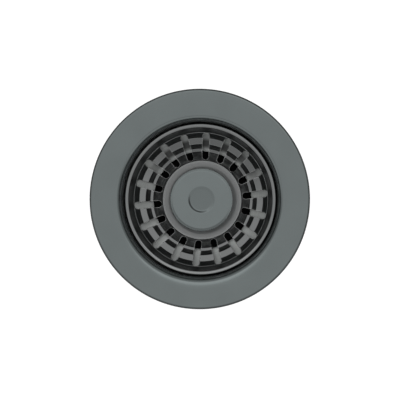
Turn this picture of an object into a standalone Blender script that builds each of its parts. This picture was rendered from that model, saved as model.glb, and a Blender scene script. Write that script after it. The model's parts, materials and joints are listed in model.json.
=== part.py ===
"""Kitchen sink drain with a lift-out strainer basket, in metres, +Z up.

The origin is on the drain's axis at the height of the sink's upper face. The
strainer body drops through the sink's hole and its flange rests on the sink.
A gasket, a mounting cup and a nut clamp it from below, and a coupling nut
holds the tailpiece on its outlet. The stepped basket, its knob, post and
rubber stopper lift out as one, and turn with the sleeve that guides the post.
"""

import math

import bmesh
import bpy
from mathutils import Matrix, Vector

# Fits shared by all the pieces
SEAT_GAP = 0.0003
CUT_OVERRUN = 0.002
AXIS_MERGE = 0.00001
SHARP_ANGLE = math.radians(32)
FILLET_SIDE_SHARE = 0.48

# Facets in a full turn
BODY_FACETS = 48
BASKET_FACETS = 36
MIDDLE_FACETS = 30
NARROW_FACETS = 16

# Sink that the drain is clamped in
SINK_HOLE_RADIUS = 0.04445
SINK_HOLE_CLEARANCE = 0.00305
SINK_THICKNESS = 0.003

# Strainer body
BODY_WALL = 0.0010
FLANGE_OVERLAP = 0.0127
FLANGE_EDGE_INNER_FILLET = 0.0002
MOUTH_FILLET = 0.0042
BOWL_FOOT_FILLET = 0.009
BOWL_CONE_RISE = 0.003
SEAT_MARGIN = 0.0016
SEAT_FILLET = 0.003
NECK_OUTER_FILLET = 0.0005
NECK_LENGTH = 0.0122

# Gaskets and rings that clamp the sink
GASKET_HOLE_CLEARANCE = 0.0009
FLANGE_GASKET_THICKNESS = 0.0012
SINK_GASKET_OVERLAP = 0.01155
SINK_GASKET_THICKNESS = 0.004
SINK_GASKET_FILLET = 0.0008
FRICTION_RING_THICKNESS = 0.0008
FRICTION_RING_INSET = 0.001

# Mounting cup and its nut
CUP_OVERHANG = 0.0005
CUP_WALL = 0.0012
CUP_LIP = 0.0032
CUP_LIP_INNER_FILLET = 0.0004
CUP_CLEARANCE = 0.0018
CUP_MOUTH_FILLET = 0.0025
CUP_FLOOR_CLEARANCE = 0.0054
CUP_CONE_RISE = 0.009
CUP_FOOT_FILLET = 0.010
CUP_FLOOR_MARGIN = 0.001
CUP_FLOOR_FILLET = 0.003
CUP_WASHER_MARGIN = 0.001
CUP_WASHER_THICKNESS = 0.0008
CUP_NUT_WALL = 0.0049
CUP_NUT_HEIGHT = 0.008
CUP_NUT_LUGS = 6
CUP_NUT_LUG_REACH = 0.0042
CUP_NUT_LUG_WIDTH = 0.009
CUP_NUT_CHAMFER = 0.0008

# Outlet nipple
NIPPLE_WALL = 0.0043
NIPPLE_CHAMFER = 0.0008
NUT_SPACING = 0.0045

# Coupling nut, tailpiece and its washer
COUPLING_WALL = 0.0044
COUPLING_ENGAGEMENT = 0.014
COUPLING_LIP = 0.0020
COUPLING_CHAMFER = 0.0010
COUPLING_LUGS = 8
COUPLING_LUG_REACH = 0.0024
COUPLING_LUG_WIDTH = 0.0052
TAIL_RADIUS = 0.01905
TAIL_WALL = 0.0014
TAIL_LENGTH = 0.1016
TAIL_FLANGE_WIDTH = 0.00415
TAIL_FLANGE_INSET = 0.0006
TAIL_HEEL_FILLET = 0.0008
TAIL_WASHER_THICKNESS = 0.0020
TAIL_WASHER_BEAD = 0.0004

# Basket cup, with heights measured down from the crest of its rim
BASKET_DROP = 0.0110
BASKET_WALL = 0.0008
BASKET_DEPTH = 0.0260
RIM_CLEARANCE = 0.00105
RIM_BEAD_RADIUS = 0.00115
RIM_INNER_ANGLE = math.radians(190)
RIM_OUTER_ANGLE = math.radians(-120)
RIM_LEAN = 0.0035
CREASE_DROP = 0.0070
UPPER_TREAD_DROP = 0.0120
UPPER_TREAD_FALL = 0.0008
LOWER_TREAD_DROP = 0.0175
LOWER_TREAD_FALL = 0.0004
TREAD_FILLET = 0.0010
TREAD_NOSE_INNER_FILLET = 0.0002
FLOOR_RADIUS = 0.0205
FLOOR_FILLET = 0.0013

# Edges of the basket's treads, on the way from its floor out to its crease
UPPER_TREAD_OUTER_SHARE = 0.817
UPPER_TREAD_INNER_SHARE = 0.585
LOWER_TREAD_OUTER_SHARE = 0.423
LOWER_TREAD_INNER_SHARE = 0.317

# Drain slots of the basket
SLOT_COUNT = 18
SLOT_WIDTH = 0.0033
SLOT_FLOOR_MARGIN = 0.0006
SLOT_CREASE_OVERLAP = 0.0001
FIRST_SLOT_ANGLE = math.radians(90 - 4.6)

# Knob and collar
KNOB_RADIUS = 0.0163
KNOB_HEIGHT = 0.0084
KNOB_CROWN = 0.0022
KNOB_EDGE = 0.0008
KNOB_UNDERCUT = 0.0012
KNOB_NECK_WALL = 0.0027
KNOB_NECK_HEIGHT = 0.0030
KNOB_NECK_FILLET = 0.0016
KNOB_CAP = 0.0022
DIMPLE_RADIUS = 0.0071
DIMPLE_DEPTH = 0.0012
COLLAR_MARGIN = 0.0010
COLLAR_HEIGHT = 0.0020
COLLAR_CHAMFER = 0.0004

# Post
POST_RADIUS = 0.0040
POST_TIP_LENGTH = 0.0036
POST_TIP_RADIUS = 0.0018
POST_CHAMFER = 0.0004
POST_BELOW_SLEEVE = 0.0090
GROOVE_DEPTH = 0.0005
GROOVE_HALF_WIDTH = 0.0009
OPEN_LIFT = 0.0080

# Stopper, its plates and the fasteners under it
UPPER_PLATE_RADIUS = 0.0185
LOWER_PLATE_RADIUS = 0.0140
PLATE_THICKNESS = 0.0008
STOPPER_OVERLAP = 0.0059
STOPPER_THICKNESS = 0.0026
STOPPER_LIP_DROP = 0.0009
STOPPER_LIP_WIDTH = 0.0034
STOPPER_FILLET = 0.0010
LOCK_WASHER_WIDTH = 0.0029
LOCK_WASHER_THICKNESS = 0.0010
LOCK_WASHER_SPLIT = 0.0008
POST_NUT_WALL = 0.0022
POST_NUT_HEIGHT = 0.0045
POST_NUT_CHAMFER = 0.0005

# Bridge across the neck
BRIDGE_THICKNESS = 0.0012
BRIDGE_ARMS = 3
BRIDGE_ARM_WIDTH = 0.0050
BRIDGE_RIM_WIDTH = 0.0032
BRIDGE_HUB_WIDTH = 0.0029

# Sleeve that guides the post, and its spring ring
SLEEVE_WALL = 0.0020
SLEEVE_HEAD_OVERLAP = 0.0019
SLEEVE_HEAD_THICKNESS = 0.0012
SLEEVE_LENGTH = 0.0100
SLEEVE_BARB = 0.0008
SLEEVE_BARB_HEIGHT = 0.0012
SLEEVE_SLITS = 4
SLEEVE_SLIT_WIDTH = 0.0010
SLEEVE_CHAMFER = 0.0005
SPRING_WIRE_RADIUS = 0.0005
SPRING_GROOVE_DEPTH = 0.0006
SPRING_GROOVE_HALF_WIDTH = 0.0009
SPRING_DROP = 0.0070

# Heights of the flange and the basket, from the sink's upper face
FLANGE_TOP = FLANGE_GASKET_THICKNESS + SEAT_GAP + BODY_WALL
RIM_CREST = FLANGE_TOP - BASKET_DROP
BASKET_FLOOR = RIM_CREST - BASKET_DEPTH
COLLAR_BOTTOM = BASKET_FLOOR + SEAT_GAP
KNOB_BOTTOM = COLLAR_BOTTOM + COLLAR_HEIGHT + SEAT_GAP
UPPER_PLATE_TOP = BASKET_FLOOR - BASKET_WALL - SEAT_GAP
STOPPER_TOP = UPPER_PLATE_TOP - PLATE_THICKNESS - SEAT_GAP
LOWER_PLATE_TOP = STOPPER_TOP - STOPPER_THICKNESS - SEAT_GAP
LOCK_WASHER_TOP = LOWER_PLATE_TOP - PLATE_THICKNESS - SEAT_GAP
POST_NUT_TOP = LOCK_WASHER_TOP - LOCK_WASHER_THICKNESS - SEAT_GAP

# Heights of the bowl, the bridge and the nipple
BOWL_SEAT = STOPPER_TOP - STOPPER_THICKNESS - STOPPER_LIP_DROP - SEAT_GAP
NECK_BOTTOM = BOWL_SEAT - NECK_LENGTH
BRIDGE_TOP = NECK_BOTTOM - SEAT_GAP
NIPPLE_LEDGE = BRIDGE_TOP - BRIDGE_THICKNESS - SEAT_GAP
NIPPLE_TOP = BOWL_SEAT - BODY_WALL - SEAT_GAP
SLEEVE_BOTTOM = BRIDGE_TOP - SLEEVE_LENGTH
SPRING_LEVEL = BRIDGE_TOP - SPRING_DROP
POST_BOTTOM = SLEEVE_BOTTOM - POST_BELOW_SLEEVE
KNOB_BORE_DEPTH = KNOB_HEIGHT - DIMPLE_DEPTH - KNOB_CAP
POST_TOP = KNOB_BOTTOM + KNOB_BORE_DEPTH - SEAT_GAP

# Heights of the pieces that clamp the sink and hold the tailpiece
SINK_GASKET_TOP = -SINK_THICKNESS
FRICTION_RING_TOP = SINK_GASKET_TOP - SINK_GASKET_THICKNESS - SEAT_GAP
CUP_TOP = FRICTION_RING_TOP - FRICTION_RING_THICKNESS - SEAT_GAP
CUP_FLOOR_TOP = BOWL_SEAT - BODY_WALL - CUP_FLOOR_CLEARANCE
CUP_WASHER_TOP = CUP_FLOOR_TOP - CUP_WALL - SEAT_GAP
CUP_NUT_TOP = CUP_WASHER_TOP - CUP_WASHER_THICKNESS - SEAT_GAP
COUPLING_TOP = CUP_NUT_TOP - CUP_NUT_HEIGHT - NUT_SPACING
NIPPLE_BOTTOM = COUPLING_TOP - COUPLING_ENGAGEMENT
TAIL_WASHER_TOP = NIPPLE_BOTTOM - SEAT_GAP
TAIL_TOP = TAIL_WASHER_TOP - TAIL_WASHER_THICKNESS - SEAT_GAP
COUPLING_LEDGE = TAIL_TOP - TAIL_WALL - SEAT_GAP
COUPLING_BOTTOM = COUPLING_LEDGE - COUPLING_LIP

# Radii that follow the sink's hole
BOWL_RADIUS = SINK_HOLE_RADIUS - SINK_HOLE_CLEARANCE - BODY_WALL
FLANGE_RADIUS = SINK_HOLE_RADIUS + FLANGE_OVERLAP
GASKET_HOLE_RADIUS = SINK_HOLE_RADIUS + GASKET_HOLE_CLEARANCE
SINK_GASKET_RADIUS = SINK_HOLE_RADIUS + SINK_GASKET_OVERLAP
CUP_RADIUS = SINK_GASKET_RADIUS + CUP_OVERHANG
RIM_RADIUS = BOWL_RADIUS - RIM_CLEARANCE - RIM_BEAD_RADIUS
CREASE_RADIUS = RIM_RADIUS - RIM_LEAN

# Radii that follow the tailpiece
TAIL_HOLE_RADIUS = TAIL_RADIUS + TAIL_HEEL_FILLET + SEAT_GAP
TAIL_FLANGE_RADIUS = TAIL_RADIUS + TAIL_FLANGE_WIDTH
NIPPLE_RADIUS = TAIL_FLANGE_RADIUS + TAIL_FLANGE_INSET
NIPPLE_HOLE_RADIUS = NIPPLE_RADIUS + SEAT_GAP
NECK_RADIUS = NIPPLE_RADIUS - NIPPLE_WALL
NECK_HOLE_RADIUS = NECK_RADIUS + BODY_WALL + SEAT_GAP
STOPPER_RADIUS = NECK_RADIUS + STOPPER_OVERLAP
COUPLING_RADIUS = NIPPLE_HOLE_RADIUS + COUPLING_WALL
CUP_NUT_RADIUS = NIPPLE_HOLE_RADIUS + CUP_NUT_WALL
CUP_WASHER_RADIUS = CUP_NUT_RADIUS + CUP_WASHER_MARGIN
CUP_FLOOR_RADIUS = CUP_WASHER_RADIUS + CUP_FLOOR_MARGIN

# Radii that follow the post
POST_HOLE_RADIUS = POST_RADIUS + SEAT_GAP
SLEEVE_RADIUS = POST_HOLE_RADIUS + SLEEVE_WALL
SLEEVE_HEAD_RADIUS = SLEEVE_RADIUS + SLEEVE_HEAD_OVERLAP
BRIDGE_HOLE_RADIUS = SLEEVE_RADIUS + SEAT_GAP
BRIDGE_HUB_RADIUS = BRIDGE_HOLE_RADIUS + BRIDGE_HUB_WIDTH
KNOB_NECK_RADIUS = POST_HOLE_RADIUS + KNOB_NECK_WALL
COLLAR_RADIUS = KNOB_NECK_RADIUS + COLLAR_MARGIN
LOCK_WASHER_RADIUS = POST_HOLE_RADIUS + LOCK_WASHER_WIDTH
POST_NUT_FLATS = 2 * (POST_HOLE_RADIUS + POST_NUT_WALL)


def clear_scene():
    for obj in list(bpy.data.objects):
        bpy.data.objects.remove(obj, do_unlink=True)


def make_material(name, colour, roughness, metallic):
    material = bpy.data.materials.new(name)
    material.use_nodes = True
    shader = material.node_tree.nodes["Principled BSDF"]
    shader.inputs["Base Color"].default_value = (*colour, 1)
    shader.inputs["Roughness"].default_value = roughness
    shader.inputs["Metallic"].default_value = metallic
    return material


def arc(centre, radius, start, end, steps):
    """Points on an arc, from one angle to another."""
    turns = [start + (end - start) * step / steps for step in range(steps + 1)]
    return [Vector(centre) + radius * Vector((math.cos(turn), math.sin(turn))) for turn in turns]


def fillet(before, corner, after, radius, steps):
    """The corner as points on an arc that is tangent to both of its sides."""
    back = before - corner
    ahead = after - corner
    half = back.angle(ahead) / 2
    longest = FILLET_SIDE_SHARE * min(back.length, ahead.length)
    reach = min(radius / math.tan(half), longest)
    middle = (back.normalized() + ahead.normalized()).normalized()
    centre = corner + middle * (reach / math.cos(half))
    start = corner + back.normalized() * reach - centre
    end = corner + ahead.normalized() * reach - centre
    side = math.copysign(1, start.x * end.y - start.y * end.x)
    turn = side * (math.pi - 2 * half) / steps
    return [centre + Matrix.Rotation(turn * step, 2) @ start for step in range(steps + 1)]


def path(corners):
    """A line of points (radius, height), or (radius, height, fillet, steps) where it is rounded."""
    points = [Vector(corner[:2]) for corner in corners]
    line = []
    for index, corner in enumerate(corners):
        if len(corner) == 2:
            line.append(points[index])
        else:
            line += fillet(points[index - 1], points[index], points[index + 1], *corner[2:])
    return line


def sheet(line, thickness):
    """The closed outline of sheet metal whose upper and inner face follows the line inwards."""
    sides = [(end - start).normalized() for start, end in zip(line, line[1:])]
    normals = [Vector((-side.y, side.x)) for side in sides]
    other_face = []
    for index, point in enumerate(line):
        near = normals[max(index - 1, 0)]
        bisector = (near + normals[min(index, len(normals) - 1)]).normalized()
        other_face.append(point + bisector * (thickness / bisector.dot(near)))
    return other_face + line[::-1]


def ring_outline(inner, outer, bottom, top, chamfer=0):
    """A rectangle with its two outer corners chamfered."""
    if not chamfer:
        return path([(outer, top), (outer, bottom), (inner, bottom), (inner, top)])
    upper = [(outer - chamfer, top), (outer, top - chamfer)]
    lower = [(outer, bottom + chamfer), (outer - chamfer, bottom)]
    return path(upper + lower + [(inner, bottom), (inner, top)])


def add_object(name, mesh):
    obj = bpy.data.objects.new(name, mesh)
    bpy.context.scene.collection.objects.link(obj)
    return obj


def apply_modifiers(obj):
    """Replace the object's mesh with its evaluated one."""
    bpy.context.view_layer.update()
    graph = bpy.context.evaluated_depsgraph_get()
    mesh = bpy.data.meshes.new_from_object(obj.evaluated_get(graph))
    obj.modifiers.clear()
    obj.data = mesh


def revolve(name, outline, facets, meets_axis=False):
    """A turned solid from an outline of (radius, height), closed or ending on the axis."""
    pairs = list(zip(outline, outline[1:] + outline[:1]))
    if sum(start.x * end.y - end.x * start.y for start, end in pairs) > 0:
        outline = outline[::-1]
    count = len(outline)
    edges = [(index, (index + 1) % count) for index in range(count - meets_axis)]
    mesh = bpy.data.meshes.new(name)
    mesh.from_pydata([(point.x, 0, point.y) for point in outline], edges, [])
    obj = add_object(name, mesh)
    screw = obj.modifiers.new("Turn", "SCREW")
    screw.steps = facets
    screw.render_steps = facets
    screw.use_merge_vertices = True
    screw.merge_threshold = AXIS_MERGE
    apply_modifiers(obj)
    return obj


def prisms(name, plans, bottom, top):
    """Upright prisms on closed plans of (x, y), joined in one object."""
    shape = bmesh.new()
    for plan in plans:
        base = shape.faces.new([shape.verts.new((point.x, point.y, bottom)) for point in plan])
        raised = bmesh.ops.extrude_face_region(shape, geom=[base])["geom"]
        moved = [item for item in raised if isinstance(item, bmesh.types.BMVert)]
        bmesh.ops.translate(shape, verts=moved, vec=(0, 0, top - bottom))
    bmesh.ops.recalc_face_normals(shape, faces=shape.faces)
    mesh = bpy.data.meshes.new(name)
    shape.to_mesh(mesh)
    shape.free()
    return add_object(name, mesh)


def combine(obj, tool, operation):
    """Cut the tool from the object, or join it on, and remove the tool."""
    modifier = obj.modifiers.new(operation.capitalize(), "BOOLEAN")
    modifier.operation = operation
    modifier.object = tool
    tool.hide_render = True
    tool.display_type = "WIRE"
    apply_modifiers(obj)
    bpy.data.objects.remove(tool, do_unlink=True)


def turned(plan, angle):
    return [Matrix.Rotation(angle, 2) @ point for point in plan]


def spaced_round(plan, count, start=0):
    """Copies of a plan, evenly spaced round the axis."""
    return [turned(plan, start + math.tau * index / count) for index in range(count)]


def slot_plan(inner, outer, width, steps=4):
    """A slot with round ends that lies along +X."""
    half = width / 2
    far_end = arc((outer - half, 0), half, -math.pi / 2, math.pi / 2, steps)
    near_end = arc((inner + half, 0), half, math.pi / 2, 3 * math.pi / 2, steps)
    return far_end + near_end


def bar_plan(inner, outer, inner_width, outer_width):
    """A straight or tapered bar that lies along +X."""
    ends = [(inner, -inner_width), (outer, -outer_width), (outer, outer_width), (inner, inner_width)]
    return [Vector((x, width / 2)) for x, width in ends]


def window_plan(inner, outer, arm_width, count, steps=5):
    """The window between two of a wheel's arms, centred on +X."""
    far_half = math.pi / count - math.asin(arm_width / 2 / outer)
    near_half = math.pi / count - math.asin(arm_width / 2 / inner)
    return arc((0, 0), outer, -far_half, far_half, steps) + arc((0, 0), inner, near_half, -near_half, steps)


def finish(obj, height, material, parent=None):
    """Shade a piece, give it its material and put it at its height."""
    obj.data.name = obj.name
    obj.data.shade_smooth()
    obj.data.set_sharp_from_angle(angle=SHARP_ANGLE)
    obj.data.materials.clear()
    obj.data.materials.append(material)
    obj.location.z = height
    obj.parent = parent


def make_strainer_body(metal):
    seat = BOWL_SEAT - FLANGE_TOP
    face = path([
        (FLANGE_RADIUS, SEAT_GAP - FLANGE_TOP),
        (FLANGE_RADIUS, 0, FLANGE_EDGE_INNER_FILLET + BODY_WALL, 1),
        (BOWL_RADIUS, 0, MOUTH_FILLET, 3),
        (BOWL_RADIUS, seat + BOWL_CONE_RISE, BOWL_FOOT_FILLET, 2),
        (STOPPER_RADIUS + SEAT_MARGIN, seat, SEAT_FILLET, 1),
        (NECK_RADIUS, seat, NECK_OUTER_FILLET + BODY_WALL, 1),
        (NECK_RADIUS, seat - NECK_LENGTH),
    ])
    body = revolve("strainer_body", sheet(face, BODY_WALL), BODY_FACETS)
    finish(body, FLANGE_TOP, metal)


def make_flange_gasket(rubber):
    outer = FLANGE_RADIUS - BODY_WALL - SEAT_GAP
    outline = ring_outline(GASKET_HOLE_RADIUS, outer, 0, FLANGE_GASKET_THICKNESS)
    finish(revolve("flange_gasket", outline, MIDDLE_FACETS), 0, rubber)


def make_sink_gasket(rubber):
    outline = ring_outline(
        GASKET_HOLE_RADIUS, SINK_GASKET_RADIUS, -SINK_GASKET_THICKNESS, 0, SINK_GASKET_FILLET
    )
    finish(revolve("sink_gasket", outline, MIDDLE_FACETS), SINK_GASKET_TOP, rubber)


def make_friction_ring(fibre):
    outer = SINK_GASKET_RADIUS - FRICTION_RING_INSET
    outline = ring_outline(GASKET_HOLE_RADIUS, outer, -FRICTION_RING_THICKNESS, 0)
    finish(revolve("friction_ring", outline, MIDDLE_FACETS), FRICTION_RING_TOP, fibre)


def make_mounting_cup(steel):
    inner = BOWL_RADIUS + BODY_WALL + CUP_CLEARANCE
    floor = CUP_FLOOR_TOP - CUP_TOP
    face = path([
        (CUP_RADIUS, -CUP_LIP),
        (CUP_RADIUS, 0, CUP_LIP_INNER_FILLET + CUP_WALL, 1),
        (inner, 0, CUP_MOUTH_FILLET, 1),
        (inner, floor + CUP_CONE_RISE, CUP_FOOT_FILLET, 2),
        (CUP_FLOOR_RADIUS, floor, CUP_FLOOR_FILLET, 1),
        (NIPPLE_HOLE_RADIUS, floor),
    ])
    cup = revolve("mounting_cup", sheet(face, CUP_WALL), MIDDLE_FACETS)
    finish(cup, CUP_TOP, steel)


def make_cup_washer(fibre):
    outline = ring_outline(NIPPLE_HOLE_RADIUS, CUP_WASHER_RADIUS, -CUP_WASHER_THICKNESS, 0)
    finish(revolve("cup_washer", outline, MIDDLE_FACETS), CUP_WASHER_TOP, fibre)


def make_cup_nut(brass):
    outline = ring_outline(
        NIPPLE_HOLE_RADIUS, CUP_NUT_RADIUS, -CUP_NUT_HEIGHT, 0, CUP_NUT_CHAMFER
    )
    nut = revolve("cup_nut", outline, MIDDLE_FACETS)
    middle = (NIPPLE_HOLE_RADIUS + CUP_NUT_RADIUS) / 2
    lug = bar_plan(middle, CUP_NUT_RADIUS + CUP_NUT_LUG_REACH, CUP_NUT_LUG_WIDTH, CUP_NUT_LUG_WIDTH)
    lugs = spaced_round(lug, CUP_NUT_LUGS)
    top = -CUP_NUT_CHAMFER
    bottom = CUP_NUT_CHAMFER - CUP_NUT_HEIGHT
    combine(nut, prisms("cup_nut_lugs", lugs, bottom, top), "UNION")
    finish(nut, CUP_NUT_TOP, brass)


def make_outlet_nipple(brass):
    ledge = NIPPLE_LEDGE - NIPPLE_TOP
    bottom = NIPPLE_BOTTOM - NIPPLE_TOP
    outline = path([
        (NIPPLE_RADIUS, 0),
        (NIPPLE_RADIUS, bottom + NIPPLE_CHAMFER),
        (NIPPLE_RADIUS - NIPPLE_CHAMFER, bottom),
        (NECK_RADIUS, bottom),
        (NECK_RADIUS, ledge),
        (NECK_HOLE_RADIUS, ledge),
        (NECK_HOLE_RADIUS, -NECK_OUTER_FILLET),
        (NECK_HOLE_RADIUS + NECK_OUTER_FILLET, 0),
    ])
    finish(revolve("outlet_nipple", outline, MIDDLE_FACETS), NIPPLE_TOP, brass)


def make_bridge(steel):
    outer = NECK_HOLE_RADIUS - SEAT_GAP
    outline = ring_outline(BRIDGE_HOLE_RADIUS, outer, -BRIDGE_THICKNESS, 0)
    bridge = revolve("post_bridge", outline, MIDDLE_FACETS)
    rim_inner = outer - BRIDGE_RIM_WIDTH
    window = window_plan(BRIDGE_HUB_RADIUS, rim_inner, BRIDGE_ARM_WIDTH, BRIDGE_ARMS)
    windows = spaced_round(window, BRIDGE_ARMS, start=math.pi)
    bottom = -BRIDGE_THICKNESS - CUT_OVERRUN
    combine(bridge, prisms("bridge_windows", windows, bottom, CUT_OVERRUN), "DIFFERENCE")
    finish(bridge, BRIDGE_TOP, steel)


def make_post_sleeve(nylon, axis):
    head_bottom = SEAT_GAP
    barb_top = -BRIDGE_THICKNESS - SEAT_GAP
    groove = -SPRING_DROP
    outline = path([
        (SLEEVE_HEAD_RADIUS, head_bottom + SLEEVE_HEAD_THICKNESS),
        (SLEEVE_HEAD_RADIUS, head_bottom),
        (SLEEVE_RADIUS, head_bottom),
        (SLEEVE_RADIUS, barb_top),
        (SLEEVE_RADIUS + SLEEVE_BARB, barb_top),
        (SLEEVE_RADIUS, barb_top - SLEEVE_BARB_HEIGHT),
        (SLEEVE_RADIUS, groove + SPRING_GROOVE_HALF_WIDTH),
        (SLEEVE_RADIUS - SPRING_GROOVE_DEPTH, groove + SPRING_GROOVE_HALF_WIDTH),
        (SLEEVE_RADIUS - SPRING_GROOVE_DEPTH, groove - SPRING_GROOVE_HALF_WIDTH),
        (SLEEVE_RADIUS, groove - SPRING_GROOVE_HALF_WIDTH),
        (SLEEVE_RADIUS, SLEEVE_CHAMFER - SLEEVE_LENGTH),
        (SLEEVE_RADIUS - SLEEVE_CHAMFER, -SLEEVE_LENGTH),
        (POST_HOLE_RADIUS, -SLEEVE_LENGTH),
        (POST_HOLE_RADIUS, head_bottom + SLEEVE_HEAD_THICKNESS),
    ])
    sleeve = revolve("post_sleeve", outline, NARROW_FACETS)
    inner = POST_HOLE_RADIUS / 2
    outer = SLEEVE_RADIUS + SLEEVE_BARB + CUT_OVERRUN
    slit = bar_plan(inner, outer, SLEEVE_SLIT_WIDTH, SLEEVE_SLIT_WIDTH)
    slits = spaced_round(slit, SLEEVE_SLITS)
    tool = prisms("sleeve_slits", slits, -SLEEVE_LENGTH - CUT_OVERRUN, barb_top)
    combine(sleeve, tool, "DIFFERENCE")
    finish(sleeve, BRIDGE_TOP, nylon, axis)


def make_sleeve_spring(steel, axis):
    radius = SLEEVE_RADIUS - SPRING_GROOVE_DEPTH + SEAT_GAP + SPRING_WIRE_RADIUS
    wire = arc((radius, 0), SPRING_WIRE_RADIUS, 0, math.tau, 6)[:-1]
    finish(revolve("sleeve_spring", wire, NARROW_FACETS), SPRING_LEVEL, steel, axis)


def make_tail_washer(plastic):
    bead = TAIL_WASHER_BEAD
    middle = (TAIL_FLANGE_RADIUS + TAIL_RADIUS) / 2
    outline = path([
        (TAIL_FLANGE_RADIUS, -bead),
        (TAIL_FLANGE_RADIUS, -TAIL_WASHER_THICKNESS),
        (TAIL_RADIUS - TAIL_WALL, -TAIL_WASHER_THICKNESS),
        (TAIL_RADIUS - TAIL_WALL, -bead),
        (middle - bead, 0),
        (middle + bead, 0),
    ])
    finish(revolve("tailpiece_washer", outline, MIDDLE_FACETS), TAIL_WASHER_TOP, plastic)


def make_tailpiece(brass):
    bore = TAIL_RADIUS - TAIL_WALL
    face = path([
        (TAIL_FLANGE_RADIUS, 0),
        (bore, 0, TAIL_HEEL_FILLET + TAIL_WALL, 2),
        (bore, -TAIL_LENGTH),
    ])
    finish(revolve("tailpiece", sheet(face, TAIL_WALL), MIDDLE_FACETS), TAIL_TOP, brass)


def make_coupling_nut(brass):
    ledge = COUPLING_LEDGE - COUPLING_TOP
    bottom = COUPLING_BOTTOM - COUPLING_TOP
    outline = path([
        (COUPLING_RADIUS - COUPLING_CHAMFER, 0),
        (COUPLING_RADIUS, -COUPLING_CHAMFER),
        (COUPLING_RADIUS, ledge),
        (TAIL_FLANGE_RADIUS, bottom),
        (TAIL_HOLE_RADIUS, bottom),
        (TAIL_HOLE_RADIUS, ledge),
        (NIPPLE_HOLE_RADIUS, ledge),
        (NIPPLE_HOLE_RADIUS, 0),
    ])
    nut = revolve("coupling_nut", outline, MIDDLE_FACETS)
    middle = (NIPPLE_HOLE_RADIUS + COUPLING_RADIUS) / 2
    lug = bar_plan(middle, COUPLING_RADIUS + COUPLING_LUG_REACH, COUPLING_LUG_WIDTH, COUPLING_LUG_WIDTH)
    lugs = spaced_round(lug, COUPLING_LUGS)
    combine(nut, prisms("coupling_lugs", lugs, ledge, -COUPLING_CHAMFER), "UNION")
    finish(nut, COUPLING_TOP, brass)


def wall_radius(share):
    """A radius on the way from the basket's floor out to its crease."""
    return FLOOR_RADIUS + share * (CREASE_RADIUS - FLOOR_RADIUS)


def basket_outline():
    """The stepped wall, with its rolled rim, from its crest down to the hole for the post."""
    upper_outer = wall_radius(UPPER_TREAD_OUTER_SHARE)
    upper_inner = wall_radius(UPPER_TREAD_INNER_SHARE)
    lower_outer = wall_radius(LOWER_TREAD_OUTER_SHARE)
    lower_inner = wall_radius(LOWER_TREAD_INNER_SHARE)
    nose = TREAD_NOSE_INNER_FILLET + BASKET_WALL
    bead = Vector((RIM_RADIUS, -RIM_BEAD_RADIUS))
    inner_end = arc(bead, RIM_BEAD_RADIUS, RIM_INNER_ANGLE, RIM_INNER_ANGLE, 1)[0]
    face = path([
        (inner_end.x, inner_end.y),
        (CREASE_RADIUS, -CREASE_DROP),
        (upper_outer, -UPPER_TREAD_DROP, TREAD_FILLET, 1),
        (upper_inner, -UPPER_TREAD_DROP - UPPER_TREAD_FALL, nose, 1),
        (lower_outer, -LOWER_TREAD_DROP, TREAD_FILLET, 1),
        (lower_inner, -LOWER_TREAD_DROP - LOWER_TREAD_FALL, nose, 1),
        (FLOOR_RADIUS, -BASKET_DEPTH, FLOOR_FILLET, 1),
        (POST_HOLE_RADIUS, -BASKET_DEPTH),
    ])
    wall = sheet(face, BASKET_WALL)[1:-1]
    rim = arc(bead, RIM_BEAD_RADIUS, RIM_INNER_ANGLE, RIM_OUTER_ANGLE, 7)
    return wall + rim


def make_basket_cup(metal, axis):
    basket = revolve("basket_cup", basket_outline(), BASKET_FACETS)
    mid_facet = math.pi / BASKET_FACETS
    inner = FLOOR_RADIUS + SLOT_FLOOR_MARGIN
    outer = CREASE_RADIUS + SLOT_CREASE_OVERLAP
    slots = spaced_round(slot_plan(inner, outer, SLOT_WIDTH), SLOT_COUNT, start=mid_facet)
    bottom = -BASKET_DEPTH - BASKET_WALL - CUT_OVERRUN
    combine(basket, prisms("basket_slots", slots, bottom, CUT_OVERRUN), "DIFFERENCE")
    basket.rotation_euler.z = FIRST_SLOT_ANGLE - mid_facet
    finish(basket, RIM_CREST, metal, axis)


def make_knob(metal, axis):
    dish_radius = (DIMPLE_RADIUS ** 2 + DIMPLE_DEPTH ** 2) / (2 * DIMPLE_DEPTH)
    dish_half = math.asin(DIMPLE_RADIUS / dish_radius)
    dish_centre = (0, KNOB_HEIGHT - DIMPLE_DEPTH + dish_radius)
    dish = arc(dish_centre, dish_radius, -math.pi / 2, dish_half - math.pi / 2, 3)
    edge_top = KNOB_HEIGHT - KNOB_CROWN
    outline = dish + path([
        (KNOB_RADIUS - KNOB_CROWN, KNOB_HEIGHT),
        (KNOB_RADIUS, KNOB_HEIGHT, KNOB_CROWN, 3),
        (KNOB_RADIUS, edge_top - KNOB_EDGE),
        (KNOB_RADIUS - KNOB_UNDERCUT, edge_top - KNOB_EDGE - KNOB_UNDERCUT),
        (KNOB_NECK_RADIUS, KNOB_NECK_HEIGHT, KNOB_NECK_FILLET, 2),
        (KNOB_NECK_RADIUS, 0),
        (POST_HOLE_RADIUS, 0),
        (POST_HOLE_RADIUS, KNOB_BORE_DEPTH),
        (0, KNOB_BORE_DEPTH),
    ])
    outline[0] = Vector((0, KNOB_HEIGHT - DIMPLE_DEPTH))
    knob = revolve("knob", outline, MIDDLE_FACETS, meets_axis=True)
    finish(knob, KNOB_BOTTOM, metal, axis)


def make_knob_collar(metal, axis):
    outline = ring_outline(POST_HOLE_RADIUS, COLLAR_RADIUS, 0, COLLAR_HEIGHT, COLLAR_CHAMFER)
    finish(revolve("knob_collar", outline, NARROW_FACETS), COLLAR_BOTTOM, metal, axis)


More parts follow.
